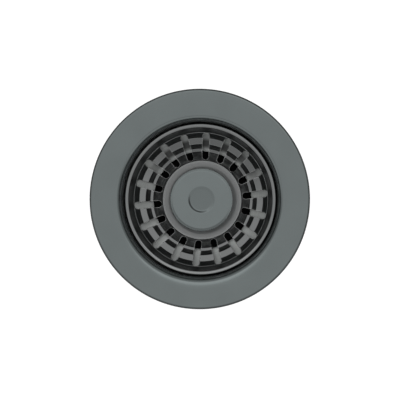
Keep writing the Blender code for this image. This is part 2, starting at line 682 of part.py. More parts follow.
def groove_points(level):
    """One round-bottomed detent groove of the post, from its upper edge down."""
    return [
        (POST_RADIUS, level + GROOVE_HALF_WIDTH),
        (POST_RADIUS - GROOVE_DEPTH, level),
        (POST_RADIUS, level - GROOVE_HALF_WIDTH),
    ]


def make_post(steel, axis):
    top = POST_TOP - POST_BOTTOM
    shut_groove = SPRING_LEVEL - POST_BOTTOM
    outline = path([
        (0, top),
        (POST_RADIUS - POST_CHAMFER, top),
        (POST_RADIUS, top - POST_CHAMFER),
        *groove_points(shut_groove),
        *groove_points(shut_groove - OPEN_LIFT),
        (POST_RADIUS, POST_TIP_LENGTH),
        (POST_TIP_RADIUS, 0),
        (0, 0),
    ])
    finish(revolve("post", outline, NARROW_FACETS, meets_axis=True), POST_BOTTOM, steel, axis)


def make_plate(name, radius, top, steel, axis):
    outline = ring_outline(POST_HOLE_RADIUS, radius, -PLATE_THICKNESS, 0)
    finish(revolve(name, outline, MIDDLE_FACETS), top, steel, axis)


def make_stopper(rubber, axis):
    lip_bottom = -STOPPER_THICKNESS - STOPPER_LIP_DROP
    outline = path([
        (POST_HOLE_RADIUS, 0),
        (STOPPER_RADIUS, 0, STOPPER_FILLET, 1),
        (STOPPER_RADIUS, lip_bottom),
        (STOPPER_RADIUS - STOPPER_LIP_WIDTH / 2, lip_bottom),
        (STOPPER_RADIUS - STOPPER_LIP_WIDTH, -STOPPER_THICKNESS),
        (POST_HOLE_RADIUS, -STOPPER_THICKNESS),
    ])
    finish(revolve("stopper", outline, MIDDLE_FACETS), STOPPER_TOP, rubber, axis)


def make_lock_washer(steel, axis):
    outline = ring_outline(POST_HOLE_RADIUS, LOCK_WASHER_RADIUS, -LOCK_WASHER_THICKNESS, 0)
    washer = revolve("lock_washer", outline, NARROW_FACETS)
    outer = LOCK_WASHER_RADIUS + CUT_OVERRUN
    split = bar_plan(POST_HOLE_RADIUS / 2, outer, LOCK_WASHER_SPLIT, LOCK_WASHER_SPLIT)
    tool = prisms("washer_split", [split], -LOCK_WASHER_THICKNESS - CUT_OVERRUN, CUT_OVERRUN)
    combine(washer, tool, "DIFFERENCE")
    finish(washer, LOCK_WASHER_TOP, steel, axis)


def make_post_nut(steel, axis):
    """A hexagon nut with its corners chamfered by a turned blank."""
    corner = POST_NUT_FLATS / math.sqrt(3)
    hexagon = arc((0, 0), corner, 0, math.tau, 6)[:-1]
    nut = prisms("post_nut", [hexagon], -POST_NUT_HEIGHT, 0)
    outer = corner + SEAT_GAP - POST_NUT_CHAMFER
    blank = path([
        (outer, 0),
        (outer + POST_NUT_CHAMFER, -POST_NUT_CHAMFER),
        (outer + POST_NUT_CHAMFER, POST_NUT_CHAMFER - POST_NUT_HEIGHT),
        (outer, -POST_NUT_HEIGHT),
        (POST_HOLE_RADIUS, -POST_NUT_HEIGHT),
        (POST_HOLE_RADIUS, 0),
    ])
    combine(nut, revolve("nut_blank", blank, NARROW_FACETS), "INTERSECT")
    finish(nut, POST_NUT_TOP, steel, axis)


def make_axis(name, parent=None):
    """An empty on the drain's axis that carries the pieces which move together."""
    axis = add_object(name, None)
    axis.parent = parent
    return axis


def make_basket(gunmetal, steel, rubber, axis):
    make_basket_cup(gunmetal, axis)
    make_knob(gunmetal, axis)
    make_knob_collar(gunmetal, axis)
    make_post(steel, axis)
    make_plate("upper_plate", UPPER_PLATE_RADIUS, UPPER_PLATE_TOP, steel, axis)
    make_stopper(rubber, axis)
    make_plate("lower_plate", LOWER_PLATE_RADIUS, LOWER_PLATE_TOP, steel, axis)
    make_lock_washer(steel, axis)
    make_post_nut(steel, axis)


def main():
    clear_scene()
    gunmetal = make_material("gunmetal", (0.155, 0.170, 0.170), 0.36, 1.0)
    steel = make_material("bare_steel", (0.55, 0.56, 0.57), 0.30, 1.0)
    plated_brass = make_material("plated_brass", (0.50, 0.50, 0.49), 0.32, 1.0)
    rubber = make_material("black_rubber", (0.018, 0.018, 0.019), 0.70, 0.0)
    fibre = make_material("grey_fibre", (0.30, 0.29, 0.27), 0.85, 0.0)
    nylon = make_material("white_nylon", (0.75, 0.74, 0.70), 0.50, 0.0)
    turning_axis = make_axis("sleeve_turn_axis")
    lifting_axis = make_axis("basket_lift_axis", turning_axis)
    make_strainer_body(gunmetal)
    make_flange_gasket(rubber)
    make_sink_gasket(rubber)
    make_friction_ring(fibre)
    make_mounting_cup(steel)
    make_cup_washer(fibre)
    make_cup_nut(plated_brass)
    make_outlet_nipple(plated_brass)
    make_bridge(steel)
    make_tail_washer(nylon)
    make_tailpiece(plated_brass)
    make_coupling_nut(plated_brass)
    make_post_sleeve(nylon, turning_axis)
    make_sleeve_spring(steel, turning_axis)
    make_basket(gunmetal, steel, rubber, lifting_axis)


main()
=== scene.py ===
"""Kitchen sink drain with a lift-out strainer basket, dressed for its portrait.

Every piece is turned, drawn or cut in edit mode round the drain's axis, within the radii
and heights that its plain solid has in the frame, and rides on that solid's body. Some
inner forms, such as the flange's dish and the knob's dimple, have sizes of their own.
"""

import json
import math

import bmesh
import bpy
from mathutils import Matrix, Vector


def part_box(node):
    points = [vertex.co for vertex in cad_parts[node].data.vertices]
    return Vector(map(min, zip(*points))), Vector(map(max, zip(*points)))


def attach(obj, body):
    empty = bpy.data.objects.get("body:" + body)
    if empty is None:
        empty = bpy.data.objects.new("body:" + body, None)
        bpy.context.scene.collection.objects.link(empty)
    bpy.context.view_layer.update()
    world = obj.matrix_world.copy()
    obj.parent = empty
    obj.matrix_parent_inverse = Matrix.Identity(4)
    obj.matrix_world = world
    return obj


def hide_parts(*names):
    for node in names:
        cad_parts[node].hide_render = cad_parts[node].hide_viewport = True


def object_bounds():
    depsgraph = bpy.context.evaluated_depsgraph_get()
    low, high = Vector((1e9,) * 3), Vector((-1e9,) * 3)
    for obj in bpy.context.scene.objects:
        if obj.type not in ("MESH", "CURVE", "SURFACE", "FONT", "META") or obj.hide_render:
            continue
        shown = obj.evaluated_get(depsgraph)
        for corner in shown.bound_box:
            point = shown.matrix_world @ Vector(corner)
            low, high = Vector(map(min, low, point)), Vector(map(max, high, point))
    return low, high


bl_info = {
    "name": "Sink Drain",
    "version": (1, 0, 0),
    "blender": (4, 5, 0),
    "location": "3D View > Sidebar > Sink Drain",
    "description": "Models the pieces of a basket strainer drain and its studio",
    "category": "Add Mesh",
}

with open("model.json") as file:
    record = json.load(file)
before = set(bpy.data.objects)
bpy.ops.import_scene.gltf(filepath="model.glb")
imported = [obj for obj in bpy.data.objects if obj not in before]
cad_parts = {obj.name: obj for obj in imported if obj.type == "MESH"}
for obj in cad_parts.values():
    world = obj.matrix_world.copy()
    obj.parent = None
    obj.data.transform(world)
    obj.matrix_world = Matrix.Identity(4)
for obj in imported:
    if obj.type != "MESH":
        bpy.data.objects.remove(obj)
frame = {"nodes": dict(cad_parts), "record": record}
frame_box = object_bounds()

BODIES = frame["record"]["behaviour"]["bodies"]
BODY_OF = {node: body for body, nodes in BODIES.items() for node in nodes}

# Fineness of the surfaces, and how far cuts run past what they cut
FULL_TURN_STEPS = 192
SMALL_TURN_STEPS = 96
COIL_TURN_STEPS = 48
SEED_SIZE = 0.001
MERGE_REACH = 0.000002
PICK_REACH = 0.00001
FILLET_STEP_ANGLE = math.radians(9)
LEAST_FILLET_STEPS = 3
SMOOTH_ANGLE = math.radians(28)
SHARP_ANGLE = math.radians(40)
BLOCK_CORNER_STEPS = 8
CUT_OVERRUN = 0.002
THREAD_OVERRUN = 0.0001
THREAD_MOUTH_SHARE = 0.92

# Fits between neighbours
GAP = 0.0003

# Strainer body
BODY_WALL = 0.0010
BOWL_WALL_LEVELS = (-0.03, -0.001)
FLANGE_EDGE_FILLET = 0.0012
DISH_FILLET = 0.012
DISH_INNER_WIDTH = 0.0015
DISH_INNER_SLOPE = math.radians(5.1)
DISH_INNER_FILLET = 0.025
MOUTH_BREAK_WIDTH = 0.0019
MOUTH_BREAK_SLOPE = math.radians(30)
MOUTH_BREAK_FILLET = 0.0010
SHOULDER_WIDTH = 0.0008
SHOULDER_DROP = 0.0052
SHOULDER_FALL = 0.0005
SHOULDER_LEAN = 0.0003
SHOULDER_FILLET = 0.0003
SHOULDER_EASE = 0.004
BOWL_FOOT_FILLET = 0.009
BOWL_CONE_RISE = 0.003
SEAT_MARGIN = 0.0016
SEAT_FILLET = 0.003
NECK_FILLET = 0.0015

# Basket cup, with heights measured down from the crest of its rim
BASKET_WALL = 0.0008
RIM_HEIGHT = 0.0017
RIM_OUTER_FILLET = 0.0005
RIM_LOWER_FILLET = 0.0005
RIM_INNER_FILLET = 0.0009
RIM_CROWN_FALL = 0.00022
RIM_ROOT_DROP = 0.0013
RIM_ROOT_INSET = 0.0001
CREASE_DROP = 0.0070
CREASE_LEDGE = 0.00013
CREASE_FALL = 0.00006
CREASE_FILLET = 0.00006
UPPER_TREAD_DROP = 0.0120
UPPER_TREAD_FALL = 0.0008
LOWER_TREAD_DROP = 0.0175
LOWER_TREAD_FALL = 0.0004
TREAD_FOOT_FILLET = 0.00035
TREAD_NOSE_FILLET = 0.0006
FLOOR_FILLET = 0.0005
SLOT_FLOOR_MARGIN = 0.0006
SLOT_CREASE_OVERLAP = 0.0001
PLAIN_FLOOR_RADIUS = 0.0205

# Outer and inner edge of each tread, as shares of the way from the floor to the crease
UPPER_TREAD_SHARES = (0.817, 0.585)
LOWER_TREAD_SHARES = (0.423, 0.317)

# Knob and collar
KNOB_CROWN_WIDTH = 0.0013
KNOB_CROWN_DROP = 0.00045
KNOB_CROWN_FILLET = 0.0008
KNOB_EDGE_FILLET = 0.0002
KNOB_EDGE = 0.00255
KNOB_UNDERCUT = 0.0012
KNOB_NECK_INSET = 0.0010
KNOB_NECK_HEIGHT = 0.0030
KNOB_NECK_FILLET = 0.0016
KNOB_BORE_DEPTH = 0.0050
DIMPLE_WALL_WIDTH = 0.0016
DIMPLE_FOOT_FILLET = 0.004
DIMPLE_LIP_FILLET = 0.004
COLLAR_CHAMFER = 0.0004

# Post with its two detent grooves, and the thread that the nut runs on
POST_TIP_LENGTH = 0.0026
POST_TIP_RADIUS = 0.0018
POST_CHAMFER = 0.0004
GROOVE_HALF_WIDTH = 0.0009
GROOVE_DEPTH = 0.0005
GROOVE_FILLET = 0.00075
GROOVE_EDGE_FILLET = GROOVE_FILLET / 3
OPEN_LIFT = 0.0080
POST_THREAD_PITCH = 0.0010
POST_THREAD_DEPTH = 0.0004
POST_THREAD_END = 0.0012

# Stopper, plates, washer and nut
STOPPER_THICKNESS = 0.0026
STOPPER_LIP_WIDTH = 0.0034
STOPPER_TOP_FILLET = 0.0010
STOPPER_LIP_FILLET = 0.0004
PLATE_FILLET = 0.00025
LOCK_WASHER_WIRE = 0.00075
LOCK_WASHER_TURNS = 0.97
NUT_SIDES = 6
NUT_ANGLE = math.radians(30)
NUT_CHAMFER = 0.0005
NUT_BORE_CHAMFER = 0.0004

# Gaskets and rings
GASKET_FILLET = 0.0005
SINK_GASKET_FILLET = 0.0009
PARTING_LINE = 0.00015
PARTING_WIDTH = 0.0003
FIBRE_FILLET = 0.00015

# Mounting cup
CUP_WALL = 0.0012
CUP_LIP = 0.0032
CUP_LIP_FILLET = 0.0016
CUP_CLEARANCE = 0.0018
CUP_MOUTH_FILLET = 0.0025
CUP_CONE_RISE = 0.009
CUP_FOOT_FILLET = 0.010
CUP_FLOOR_MARGIN = 0.001
CUP_FLOOR_FILLET = 0.003
CUP_HOLE_FILLET = 0.0003

# Nuts, with their lugs
NUT_FILLET = 0.0003
CUP_NUT_CHAMFER = 0.0008
CUP_NUT_LUGS = 6
CUP_NUT_LUG_REACH = 0.0042
CUP_NUT_LUG_WIDTH = 0.009
CUP_NUT_LUG_CORNER = 0.0016
COUPLING_CHAMFER = 0.0010
COUPLING_LIP = 0.0020
COUPLING_LUGS = 8
COUPLING_LUG_REACH = 0.0024
COUPLING_LUG_WIDTH = 0.0052
COUPLING_LUG_CORNER = 0.0011
LUG_SOFTENING = 0.00035
LUG_ROOT = 0.0022

# Outlet nipple
NIPPLE_CHAMFER = 0.0008
NIPPLE_THREAD_DEPTH = 0.0009
NIPPLE_MOUTH_FILLET = 0.0005

# Tailpiece
TAIL_WALL = 0.0014
TAIL_HEEL_FILLET = 0.0022
TAIL_END_FILLET = 0.0003
TAIL_WASHER_BEAD = 0.0004
TAIL_WASHER_FILLET = 0.00025

# Bridge, sleeve and spring
BRIDGE_HUB_WIDTH = 0.0029
BRIDGE_RIM_WIDTH = 0.0032
BRIDGE_ARMS = 3
BRIDGE_ARM_WIDTH = 0.0050
BRIDGE_ARM_INSET = 0.00006
BRIDGE_FILLET = 0.0002
SLEEVE_HEAD_THICKNESS = 0.0012
SLEEVE_HEAD_FILLET = 0.0004
SLEEVE_BARB = 0.0008
SLEEVE_BARB_HEIGHT = 0.0012
SLEEVE_CHAMFER = 0.0005
SLEEVE_SLITS = 4
SLEEVE_SLIT_WIDTH = 0.0010
SLEEVE_SLIT_CORNER = 0.0002
SPRING_GROOVE_DEPTH = 0.0006
SPRING_GROOVE_HALF_WIDTH = 0.0009
SPRING_WIRE_STEPS = 16
SPRING_TURNS = 0.96

# The values between which most of a noise lies
NOISE_LOW = 0.3
NOISE_HIGH = 0.7

# Worked metal: grains to the metre and in a turn, and how far its tone and roughness vary
RING_GRAIN = 9000
RINGS_IN_TURN = 2.0
STREAK_GRAIN = 900
STREAKS_IN_TURN = 1.2
PATCH_GRAIN = 260
PATCH_LIMITS = (0.42, 0.68)
LEAST_PATCH = 0.1
CLOUD_GRAIN = 60
CLOUD_TONES = (0.97, 1.03)
STEEP_LIMITS = (0.25, 0.5)
ROUGHNESS_FALL = 0.03
ROUGHNESS_RISE = 0.04
METAL_BUMP = 0.12
METAL_BUMP_DEPTH = 0.00002
STREAK_BUMP_SHARE = 2.0

# Worn edges, which on the coatings also stand for a painted highlight along them
EDGE_WIDTH = 0.00025
EDGE_LIMITS = (0.90, 0.995)
WEAR_GRAIN = 900
LEAST_WEAR = 0.35

# Gunmetal coating: tones are shares of its colour
DRAWN_TONE = 0.6
STREAK_TONE = 3.2
COATING_STEEP_ROUGHNESS = 0.22
COLLAR_DULLNESS = 0.08

# Coating of the bowl, with heights measured down from the step under its mouth
BOWL_STREAK_TONE = 1.6
BOWL_DULLNESS = 0.40
BOWL_DULL_DROPS = (0.0009, 0.0005)
# Painted shade: the bowl's wall is darker below the step, deep in the gap round the basket's rim
BOWL_PAINTED_SHADE_DROPS = (0.0016, 0.0008)
BOWL_PAINTED_SHADE_TONE = 0.3
# Painted shade: a dark line along the flange's rounded outer edge, standing for the dark outline that it
# shows
FLANGE_PAINTED_SHADE_INSETS = (0.0010, 0.0005)
FLANGE_PAINTED_SHADE_TONE = 0.3
BARE_RADII = (0.0355, 0.0370)
BARE_ROUGHNESS = 0.12
BARE_DULLNESS = 0.6
# Painted shade on the bare steel: a band on the far side (+Y) of the bowl, where the basket keeps the
# light off
PAINTED_SHADE_BAND_RADII = (0.0275, 0.0318)
PAINTED_SHADE_BAND_DIRECTION = math.radians(90)
PAINTED_SHADE_BAND_TONE = 0.16

# Coating of the basket
BASKET_STREAK_TONE = 5.0
HIGH_STREAKS = 0.1
LOW_DULLNESS = 0.34
HIGH_DULLNESS = 0.02
LEVEL_DULLNESS_SHARE = 0.4
# Painted light: the basket's floor is paler, to lift the shade that the knob throws on it
FLOOR_PAINTED_LIGHT_SHARE = 0.93
FLOOR_PAINTED_LIGHT_TONE = 1.5
FLOOR_PAINTED_LIGHT_DULLNESS = 0.85

# Coating of the knob, with the radii of its dimple's zones as shares of the dimple's
KNOB_BRIGHTNESS = 1.06
# Painted light: the knob's steep side is much lighter, so that it throws light onto the basket's floor
# beside it
KNOB_SIDE_PAINTED_LIGHT_TONE = 2.0
KNOB_SIDE_PAINTED_LIGHT_STREAK_TONE = 3.0
KNOB_DULLNESS = 0.8
DIMPLE_EDGE_SHARE = 0.95
DIMPLE_TONE = 0.84
DIMPLE_ROUGHNESS = 0.10
# Painted shade: a dark crescent on one side of the dimple's edge
PAINTED_SHADE_CRESCENT_SHARES = (0.84, 0.96)
PAINTED_SHADE_CRESCENT_DIRECTION = math.radians(228)
PAINTED_SHADE_CRESCENT_TONE = 0.22

# Bands on one side of the axis: how softly their edges end, and how they fade out round it
BAND_SOFT_SHARE = 0.2
BAND_FACING_LIMITS = (0.30, 0.80)

# Bare steel and nickel plate
METAL_DRAWN_TONE = 1.0
STEEL_STREAK_TONE = 0.8
STEEL_STEEP_ROUGHNESS = 0.04
RUBBED_STEEL = (0.78, 0.78, 0.78)
NICKEL_STREAK_TONE = 0.85
NICKEL_STEEP_ROUGHNESS = 0.02
NICKEL_BUMP = 0.2
RUBBED_NICKEL = (0.80, 0.78, 0.74)

# Rubbed edges of the slots, with a painted highlight that is brightest low down
SCRATCH_GRAIN = 1800
SCRATCH_TONE = 0.5
MOST_SCRATCHED = 0.4
SCRATCH_BUMP = 0.2
SCRATCH_BUMP_DEPTH = 0.00005
LOW_EDGE_HIGHLIGHT_TONE = 1.65
HIGH_EDGE_HIGHLIGHT_TONE = 0.45
EDGE_METALLIC = 0.3
EDGE_ROUGHNESS = (0.42, 0.60)

# Rubber, nylon and fibre
MOULD_CLOUD_GRAIN = 45
MOULD_TONES = (0.86, 1.14)
MOULD_EDGE_WIDTH = 0.0003
MOULD_EDGE_TONE = 1.35
MOULD_ROUGHNESS_SPREAD = 0.07
MOULD_BUMP_DEPTH = 0.0001
RUBBER_GRAIN = 1400
GASKET_ROUGHNESS = 0.66
GASKET_BUMP = 0.25
STOPPER_ROUGHNESS = 0.72
STOPPER_BUMP = 0.2
NYLON_GRAIN = 700
NYLON_ROUGHNESS = 0.42
NYLON_BUMP = 0.08
FLECK_GRAIN = 1600
FLECK_TONES = (0.6, 1.4)
SHRED_GRAIN = 2600
SHREDS_IN_TURN = 60
SHRED_TONE = 0.8
MOST_SHREDDED = 0.5
FIBRE_BUMP = 0.5
FIBRE_ROUGHNESS = (0.8, 0.98)

# Studio
STUDIO_FLOOR_RADIUS = 6.0
STUDIO_FLOOR_SIDES = 128
STUDIO_FLOOR_ROUGHNESS = 0.9
FLOOR_GLOW = 0.45
NEAR_SIDE = (-0.20, -0.98, 0.0)
NEAR_LIMITS = (0.05, 0.35)
LAMP_DIRECTION = (0.0, 0.26, 0.966)
LAMP_DISTANCE = 2.2
LAMP_LENGTH = 1.6
LAMP_WIDTH = 0.42

# How bright the sky is at some heights, from 0 at the horizon to 1 overhead
NEAR_SKY = {
    0.0: 0.6, 0.26: 0.85, 0.50: 1.05, 0.67: 0.95, 0.79: 0.6, 0.87: 0.55, 0.92: 0.72, 0.966: 1.0,
}
FAR_SKY = {0.0: 0.35, 0.26: 0.50, 0.50: 0.70, 0.71: 0.95, 1.0: 1.0}

FINISHES = {}


def clear_selection():
    """Leave edit mode and select nothing, so that an operator acts on new work alone."""
    if bpy.context.mode != "OBJECT":
        bpy.ops.object.mode_set(mode="OBJECT")
    bpy.ops.object.select_all(action="DESELECT")


def choose(obj):
    """Select one object alone and make it the active one."""
    clear_selection()
    bpy.context.view_layer.objects.active = obj
    obj.select_set(True)


def edit(obj, mode="VERT"):
    """Open one object in edit mode with nothing selected in it."""
    choose(obj)
    bpy.ops.object.mode_set(mode="EDIT")
    bpy.ops.mesh.select_mode(type=mode)
    bpy.ops.mesh.select_all(action="DESELECT")


def close_edit():
    bpy.ops.object.mode_set(mode="OBJECT")


def select_points(obj, wanted):
    """Select the points of the mesh in edit mode that the test accepts."""
    mesh = bmesh.from_edit_mesh(obj.data)
    found = 0
    for point in mesh.verts:
        point.select = wanted(point.co)
        found += point.select
    mesh.select_flush_mode()
    bmesh.update_edit_mesh(obj.data)
    if not found:
        raise RuntimeError(f"{obj.name}: no point was found to select")


def near(place):
    """A test for the points at one place."""
    return lambda co: (co - place).length < PICK_REACH


def arc(centre, radius, start, end, steps):
    """Points (radius, height) on an arc, from one angle to another in degrees."""
    turns = [math.radians(start + (end - start) * step / steps) for step in range(steps + 1)]
    return [(centre[0] + radius * math.cos(turn), centre[1] + radius * math.sin(turn)) for turn in turns]


def start_profile(name, first):
    """One vertex at the profile's first point, made by merging a small plane."""
    clear_selection()
    bpy.ops.mesh.primitive_plane_add(size=SEED_SIZE, location=(first[0], 0, first[1]))
    profile = bpy.context.object
    profile.name = name
    profile.data.name = name
    bpy.ops.object.transform_apply(location=True, rotation=False, scale=False)
    edit(profile)
    bpy.ops.mesh.select_all(action="SELECT")
    bpy.ops.mesh.merge(type="CENTER")
    return profile


def round_corner(profile, before, corner, after, radius):
    """Bevel one corner of the profile to a fillet that is tangent to both of its sides."""
    back = Vector(before[:2]) - Vector(corner[:2])
    ahead = Vector(after[:2]) - Vector(corner[:2])
    inside = back.angle(ahead)
    reach = radius / math.tan(inside / 2)
    room = min(back.length, ahead.length)
    if reach > room:
        raise RuntimeError(f"{profile.name}: a fillet of {radius} m doesn't fit at {corner[:2]}")
    steps = max(LEAST_FILLET_STEPS, round((math.pi - inside) / FILLET_STEP_ANGLE))
    select_points(profile, near(Vector((corner[0], 0, corner[1]))))
    bpy.ops.mesh.bevel(
        offset=reach, offset_type="OFFSET", segments=steps, profile=0.5, affect="VERTICES"
    )


def draw_profile(name, corners, closed):
    """Extrude a vertex through corners of (radius, height) or (radius, height, fillet)."""
    profile = start_profile(name, corners[0])
    for before, after in zip(corners, corners[1:]):
        step = (after[0] - before[0], 0, after[1] - before[1])
        bpy.ops.mesh.extrude_vertices_move(TRANSFORM_OT_translate={"value": step})
    if closed:
        ends = [Vector((corner[0], 0, corner[1])) for corner in (corners[0], corners[-1])]
        select_points(profile, lambda co: min((co - end).length for end in ends) < PICK_REACH)
        bpy.ops.mesh.edge_face_add()
    count = len(corners)
    for index, corner in enumerate(corners):
        if len(corner) == 3:
            round_corner(profile, corners[index - 1], corner, corners[(index + 1) % count], corner[2])
    return profile


def face_outwards():
    """Merge what coincides in the mesh in edit mode and turn its faces outwards."""
    bpy.ops.mesh.select_all(action="SELECT")
    bpy.ops.mesh.remove_doubles(threshold=MERGE_REACH)
    bpy.ops.mesh.normals_make_consistent(inside=False)


def turn(name, corners, steps=FULL_TURN_STEPS, closed=True):
    """A turned solid from a closed profile, or from one that ends on the axis."""
    profile = draw_profile(name, corners, closed)
    bpy.ops.mesh.select_all(action="SELECT")
    bpy.ops.mesh.spin(steps=steps, angle=math.tau, center=(0, 0, 0), axis=(0, 0, 1))
    face_outwards()
    close_edit()
    return profile


def apply_modifier(obj, kind, **settings):
    """Add one modifier to the object, set it and apply it."""
    choose(obj)
    modifier = obj.modifiers.new(kind.title(), kind)
    for name, value in settings.items():
        setattr(modifier, name, value)
    bpy.ops.object.modifier_apply(modifier=modifier.name)


def coil(name, corners, turns, rise):
    """A closed section swept round the axis for some turns, climbing by its rise in each turn."""
    section = draw_profile(name, corners, closed=True)
    bpy.ops.mesh.select_all(action="SELECT")
    bpy.ops.mesh.delete(type="ONLY_FACE")
    close_edit()
    steps = math.ceil(COIL_TURN_STEPS * turns)
    apply_modifier(
        section, "SCREW", angle=math.tau * turns, screw_offset=rise * turns, steps=steps,
        render_steps=steps, use_merge_vertices=False,
    )
    edit(section)
    bpy.ops.mesh.select_all(action="SELECT")
    bpy.ops.mesh.fill_holes(sides=0)
    face_outwards()
    close_edit()
    return section


def other_face(corners, wall):
    """The corners of a sheet's other face, one wall to the left of the way they are given."""
    places = [Vector(corner[:2]) for corner in corners]
    sides = [(end - start).normalized() for start, end in zip(places, places[1:])]
    lefts = [Vector((-side.y, side.x)) for side in sides]
    moved = []
    for index, corner in enumerate(corners):
        before, after = max(index - 1, 0), min(index, len(sides) - 1)
        bisector = (lefts[before] + lefts[after]).normalized()
        place = places[index] + bisector * (wall / bisector.dot(lefts[before]))
        turn_left = sides[before].cross(sides[after]) > 0
        fillet = corner[2] + (-wall if turn_left else wall) if len(corner) == 3 else 0
        moved.append((*place, fillet) if fillet > 0 else tuple(place))
    return moved


def turn_sheet(name, corners, wall, steps=FULL_TURN_STEPS):
    """Drawn sheet metal whose upper and inner face follows the corners."""
    return turn(name, corners + other_face(corners, wall)[::-1], steps)


def copy_round(obj, count):
    """Repeat the object's mesh in edit mode, evenly spaced round the axis."""
    edit(obj)
    bpy.ops.mesh.select_all(action="SELECT")
    for _ in range(count - 1):
        bpy.ops.mesh.duplicate()
        bpy.ops.transform.rotate(
            value=math.tau / count, orient_axis="Z", center_override=(0, 0, 0)
        )
    close_edit()


def turn_by(obj, angle):
    """Turn the object's mesh round the axis, anticlockwise from above."""
    edit(obj)
    bpy.ops.mesh.select_all(action="SELECT")
    bpy.ops.transform.rotate(value=-angle, orient_axis="Z", center_override=(0, 0, 0))
    close_edit()


def combine(obj, tool, operation):
    """Cut the tool from the object, or join it on, and remove the tool."""
    apply_modifier(obj, "BOOLEAN", object=tool, operation=operation, solver="EXACT")
    bpy.data.objects.remove(tool, do_unlink=True)


def soften_edges(obj, width, segments=2, material=-1, clamp=True):
    """Round the object's sharp edges a little, as tumbling or plating does."""
    apply_modifier(
        obj, "BEVEL", width=width, segments=segments, limit_method="ANGLE",
        angle_limit=SHARP_ANGLE, material=material, use_clamp_overlap=clamp,
    )


def select_upright_edges(obj):
    """Select the upright edges of the mesh in edit mode."""
    mesh = bmesh.from_edit_mesh(obj.data)
    for side in mesh.edges:
        first, second = (point.co for point in side.verts)
        side.select = math.hypot(first.x - second.x, first.y - second.y) < PICK_REACH
    mesh.select_flush_mode()
    bmesh.update_edit_mesh(obj.data)


def rounded_block(name, low, high, corner):
    """A block between two corners of space, with its upright edges rounded."""
    clear_selection()
    low, high = Vector(low), Vector(high)
    bpy.ops.mesh.primitive_cube_add(size=1, location=(low + high) / 2, scale=high - low)
    block = bpy.context.object
    block.name = name
    bpy.ops.object.transform_apply(location=True, rotation=False, scale=True)
    edit(block, "EDGE")
    select_upright_edges(block)
    bpy.ops.mesh.bevel(offset=corner, segments=BLOCK_CORNER_STEPS, affect="EDGES")
    face_outwards()
    close_edit()
    return block


def add_lugs(nut, count, root, reach, width, corner, low, high):
    """Join a ring of rounded lugs to a nut."""
    half = width / 2
    lugs = rounded_block(nut.name + "_lugs", (root, -half, low), (reach, half, high), corner)
    soften_edges(lugs, LUG_SOFTENING)
    copy_round(lugs, count)
    combine(nut, lugs, "UNION")


def cut_thread(obj, radius, depth, pitch, low, high):
    """Cut a V-shaped thread into the outside of a turned piece."""
    outside = radius + THREAD_OVERRUN
    mouth = THREAD_MOUTH_SHARE * pitch / 2
    corners = [(radius - depth, low), (outside, low + mouth), (outside, low - mouth)]
    cutter = coil(obj.name + "_thread", corners, (high - low) / pitch, pitch)
    combine(obj, cutter, "DIFFERENCE")


def radii(node, low=-math.inf, high=math.inf):
    """(least, greatest) distance from the axis of a solid's points between two heights."""
    points = [point.co for point in frame["nodes"][node].data.vertices]
    found = [math.hypot(co.x, co.y) for co in points if low <= co.z <= high]
    return min(found), max(found)


def heights(node):
    """(lowest, highest) height of a solid."""
    lowest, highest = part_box(node)
    return lowest.z, highest.z


def extents(node):
    """(inner radius, outer radius, lowest height, highest height) of a solid."""
    return (*radii(node), *heights(node))


def check_closed(obj):
    """Raise an error if the mesh has an open edge or is inside out."""
    mesh = bmesh.new()
    mesh.from_mesh(obj.data)
    loose = sum(len(side.link_faces) != 2 for side in mesh.edges)
    volume = mesh.calc_volume(signed=True)
    mesh.free()
    if loose or volume <= 0:
        raise RuntimeError(f"{obj.name} has {loose} open edges and a volume of {volume} m3")


def mark_steepness(obj):
    """Store at each point how steep its flattest face is, from 0 for level to 1."""
    least = [1.0] * len(obj.data.vertices)
    for face in obj.data.polygons:
        for index in face.vertices:
            least[index] = min(least[index], 1 - abs(face.normal.z))
    steepness = obj.data.attributes.new("steepness", "FLOAT", "POINT")
    steepness.data.foreach_set("value", least)


def hand_over(obj, node, material=None):
    """Shade a finished piece, give it its material and let it stand for its plain solid."""
    check_closed(obj)
    mark_steepness(obj)
    choose(obj)
    bpy.ops.object.shade_smooth_by_angle(angle=SMOOTH_ANGLE)
    if material:
        obj.data.materials.clear()
        obj.data.materials.append(material)
    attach(obj, BODY_OF[node])
    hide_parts(node)


def add_node(material, kind, inputs=None, **settings):
    """A shader node with its settings made and its sockets set or linked."""
    tree = material.node_tree
    made = tree.nodes.new(kind)
    for name, value in settings.items():
        setattr(made, name, value)
    for socket, value in (inputs or {}).items():
        if isinstance(value, bpy.types.NodeSocket):
            tree.links.new(value, made.inputs[socket])
        else:
            made.inputs[socket].default_value = value
    return made


def math_node(material, operation, first, second=0.0):
    made = add_node(material, "ShaderNodeMath", {0: first, 1: second}, operation=operation)
    return made.outputs[0]


def spread(material, value, low, high, start=NOISE_LOW, end=NOISE_HIGH):
    """Map a value that runs from start to end onto low to high."""
    inputs = {"Value": value, "From Min": start, "From Max": end, "To Min": low, "To Max": high}
    return add_node(material, "ShaderNodeMapRange", inputs).outputs["Result"]


def mixed(material, share, first, second):
    """A colour on the way from the first, at a share of 0, to the second, at 1."""
    inputs = {0: share}
    for socket, value in ((6, first), (7, second)):
        inputs[socket] = value if isinstance(value, bpy.types.NodeSocket) else (*value, 1)
    return add_node(material, "ShaderNodeMix", inputs, data_type="RGBA").outputs[2]


def new_material(name, roughness, metallic, **sockets):
    """A Principled material whose even values stand on the shader's own sockets."""
    material = bpy.data.materials.new(name)
    material.use_nodes = True
    shader = material.node_tree.nodes["Principled BSDF"]
    shader.inputs["Roughness"].default_value = roughness
    shader.inputs["Metallic"].default_value = metallic
    for socket, value in sockets.items():
        shader.inputs[socket.replace("_", " ")].default_value = value
    return material, shader


def link(material, shader, **sockets):
    for socket, value in sockets.items():
        material.node_tree.links.new(value, shader.inputs[socket.replace("_", " ")])


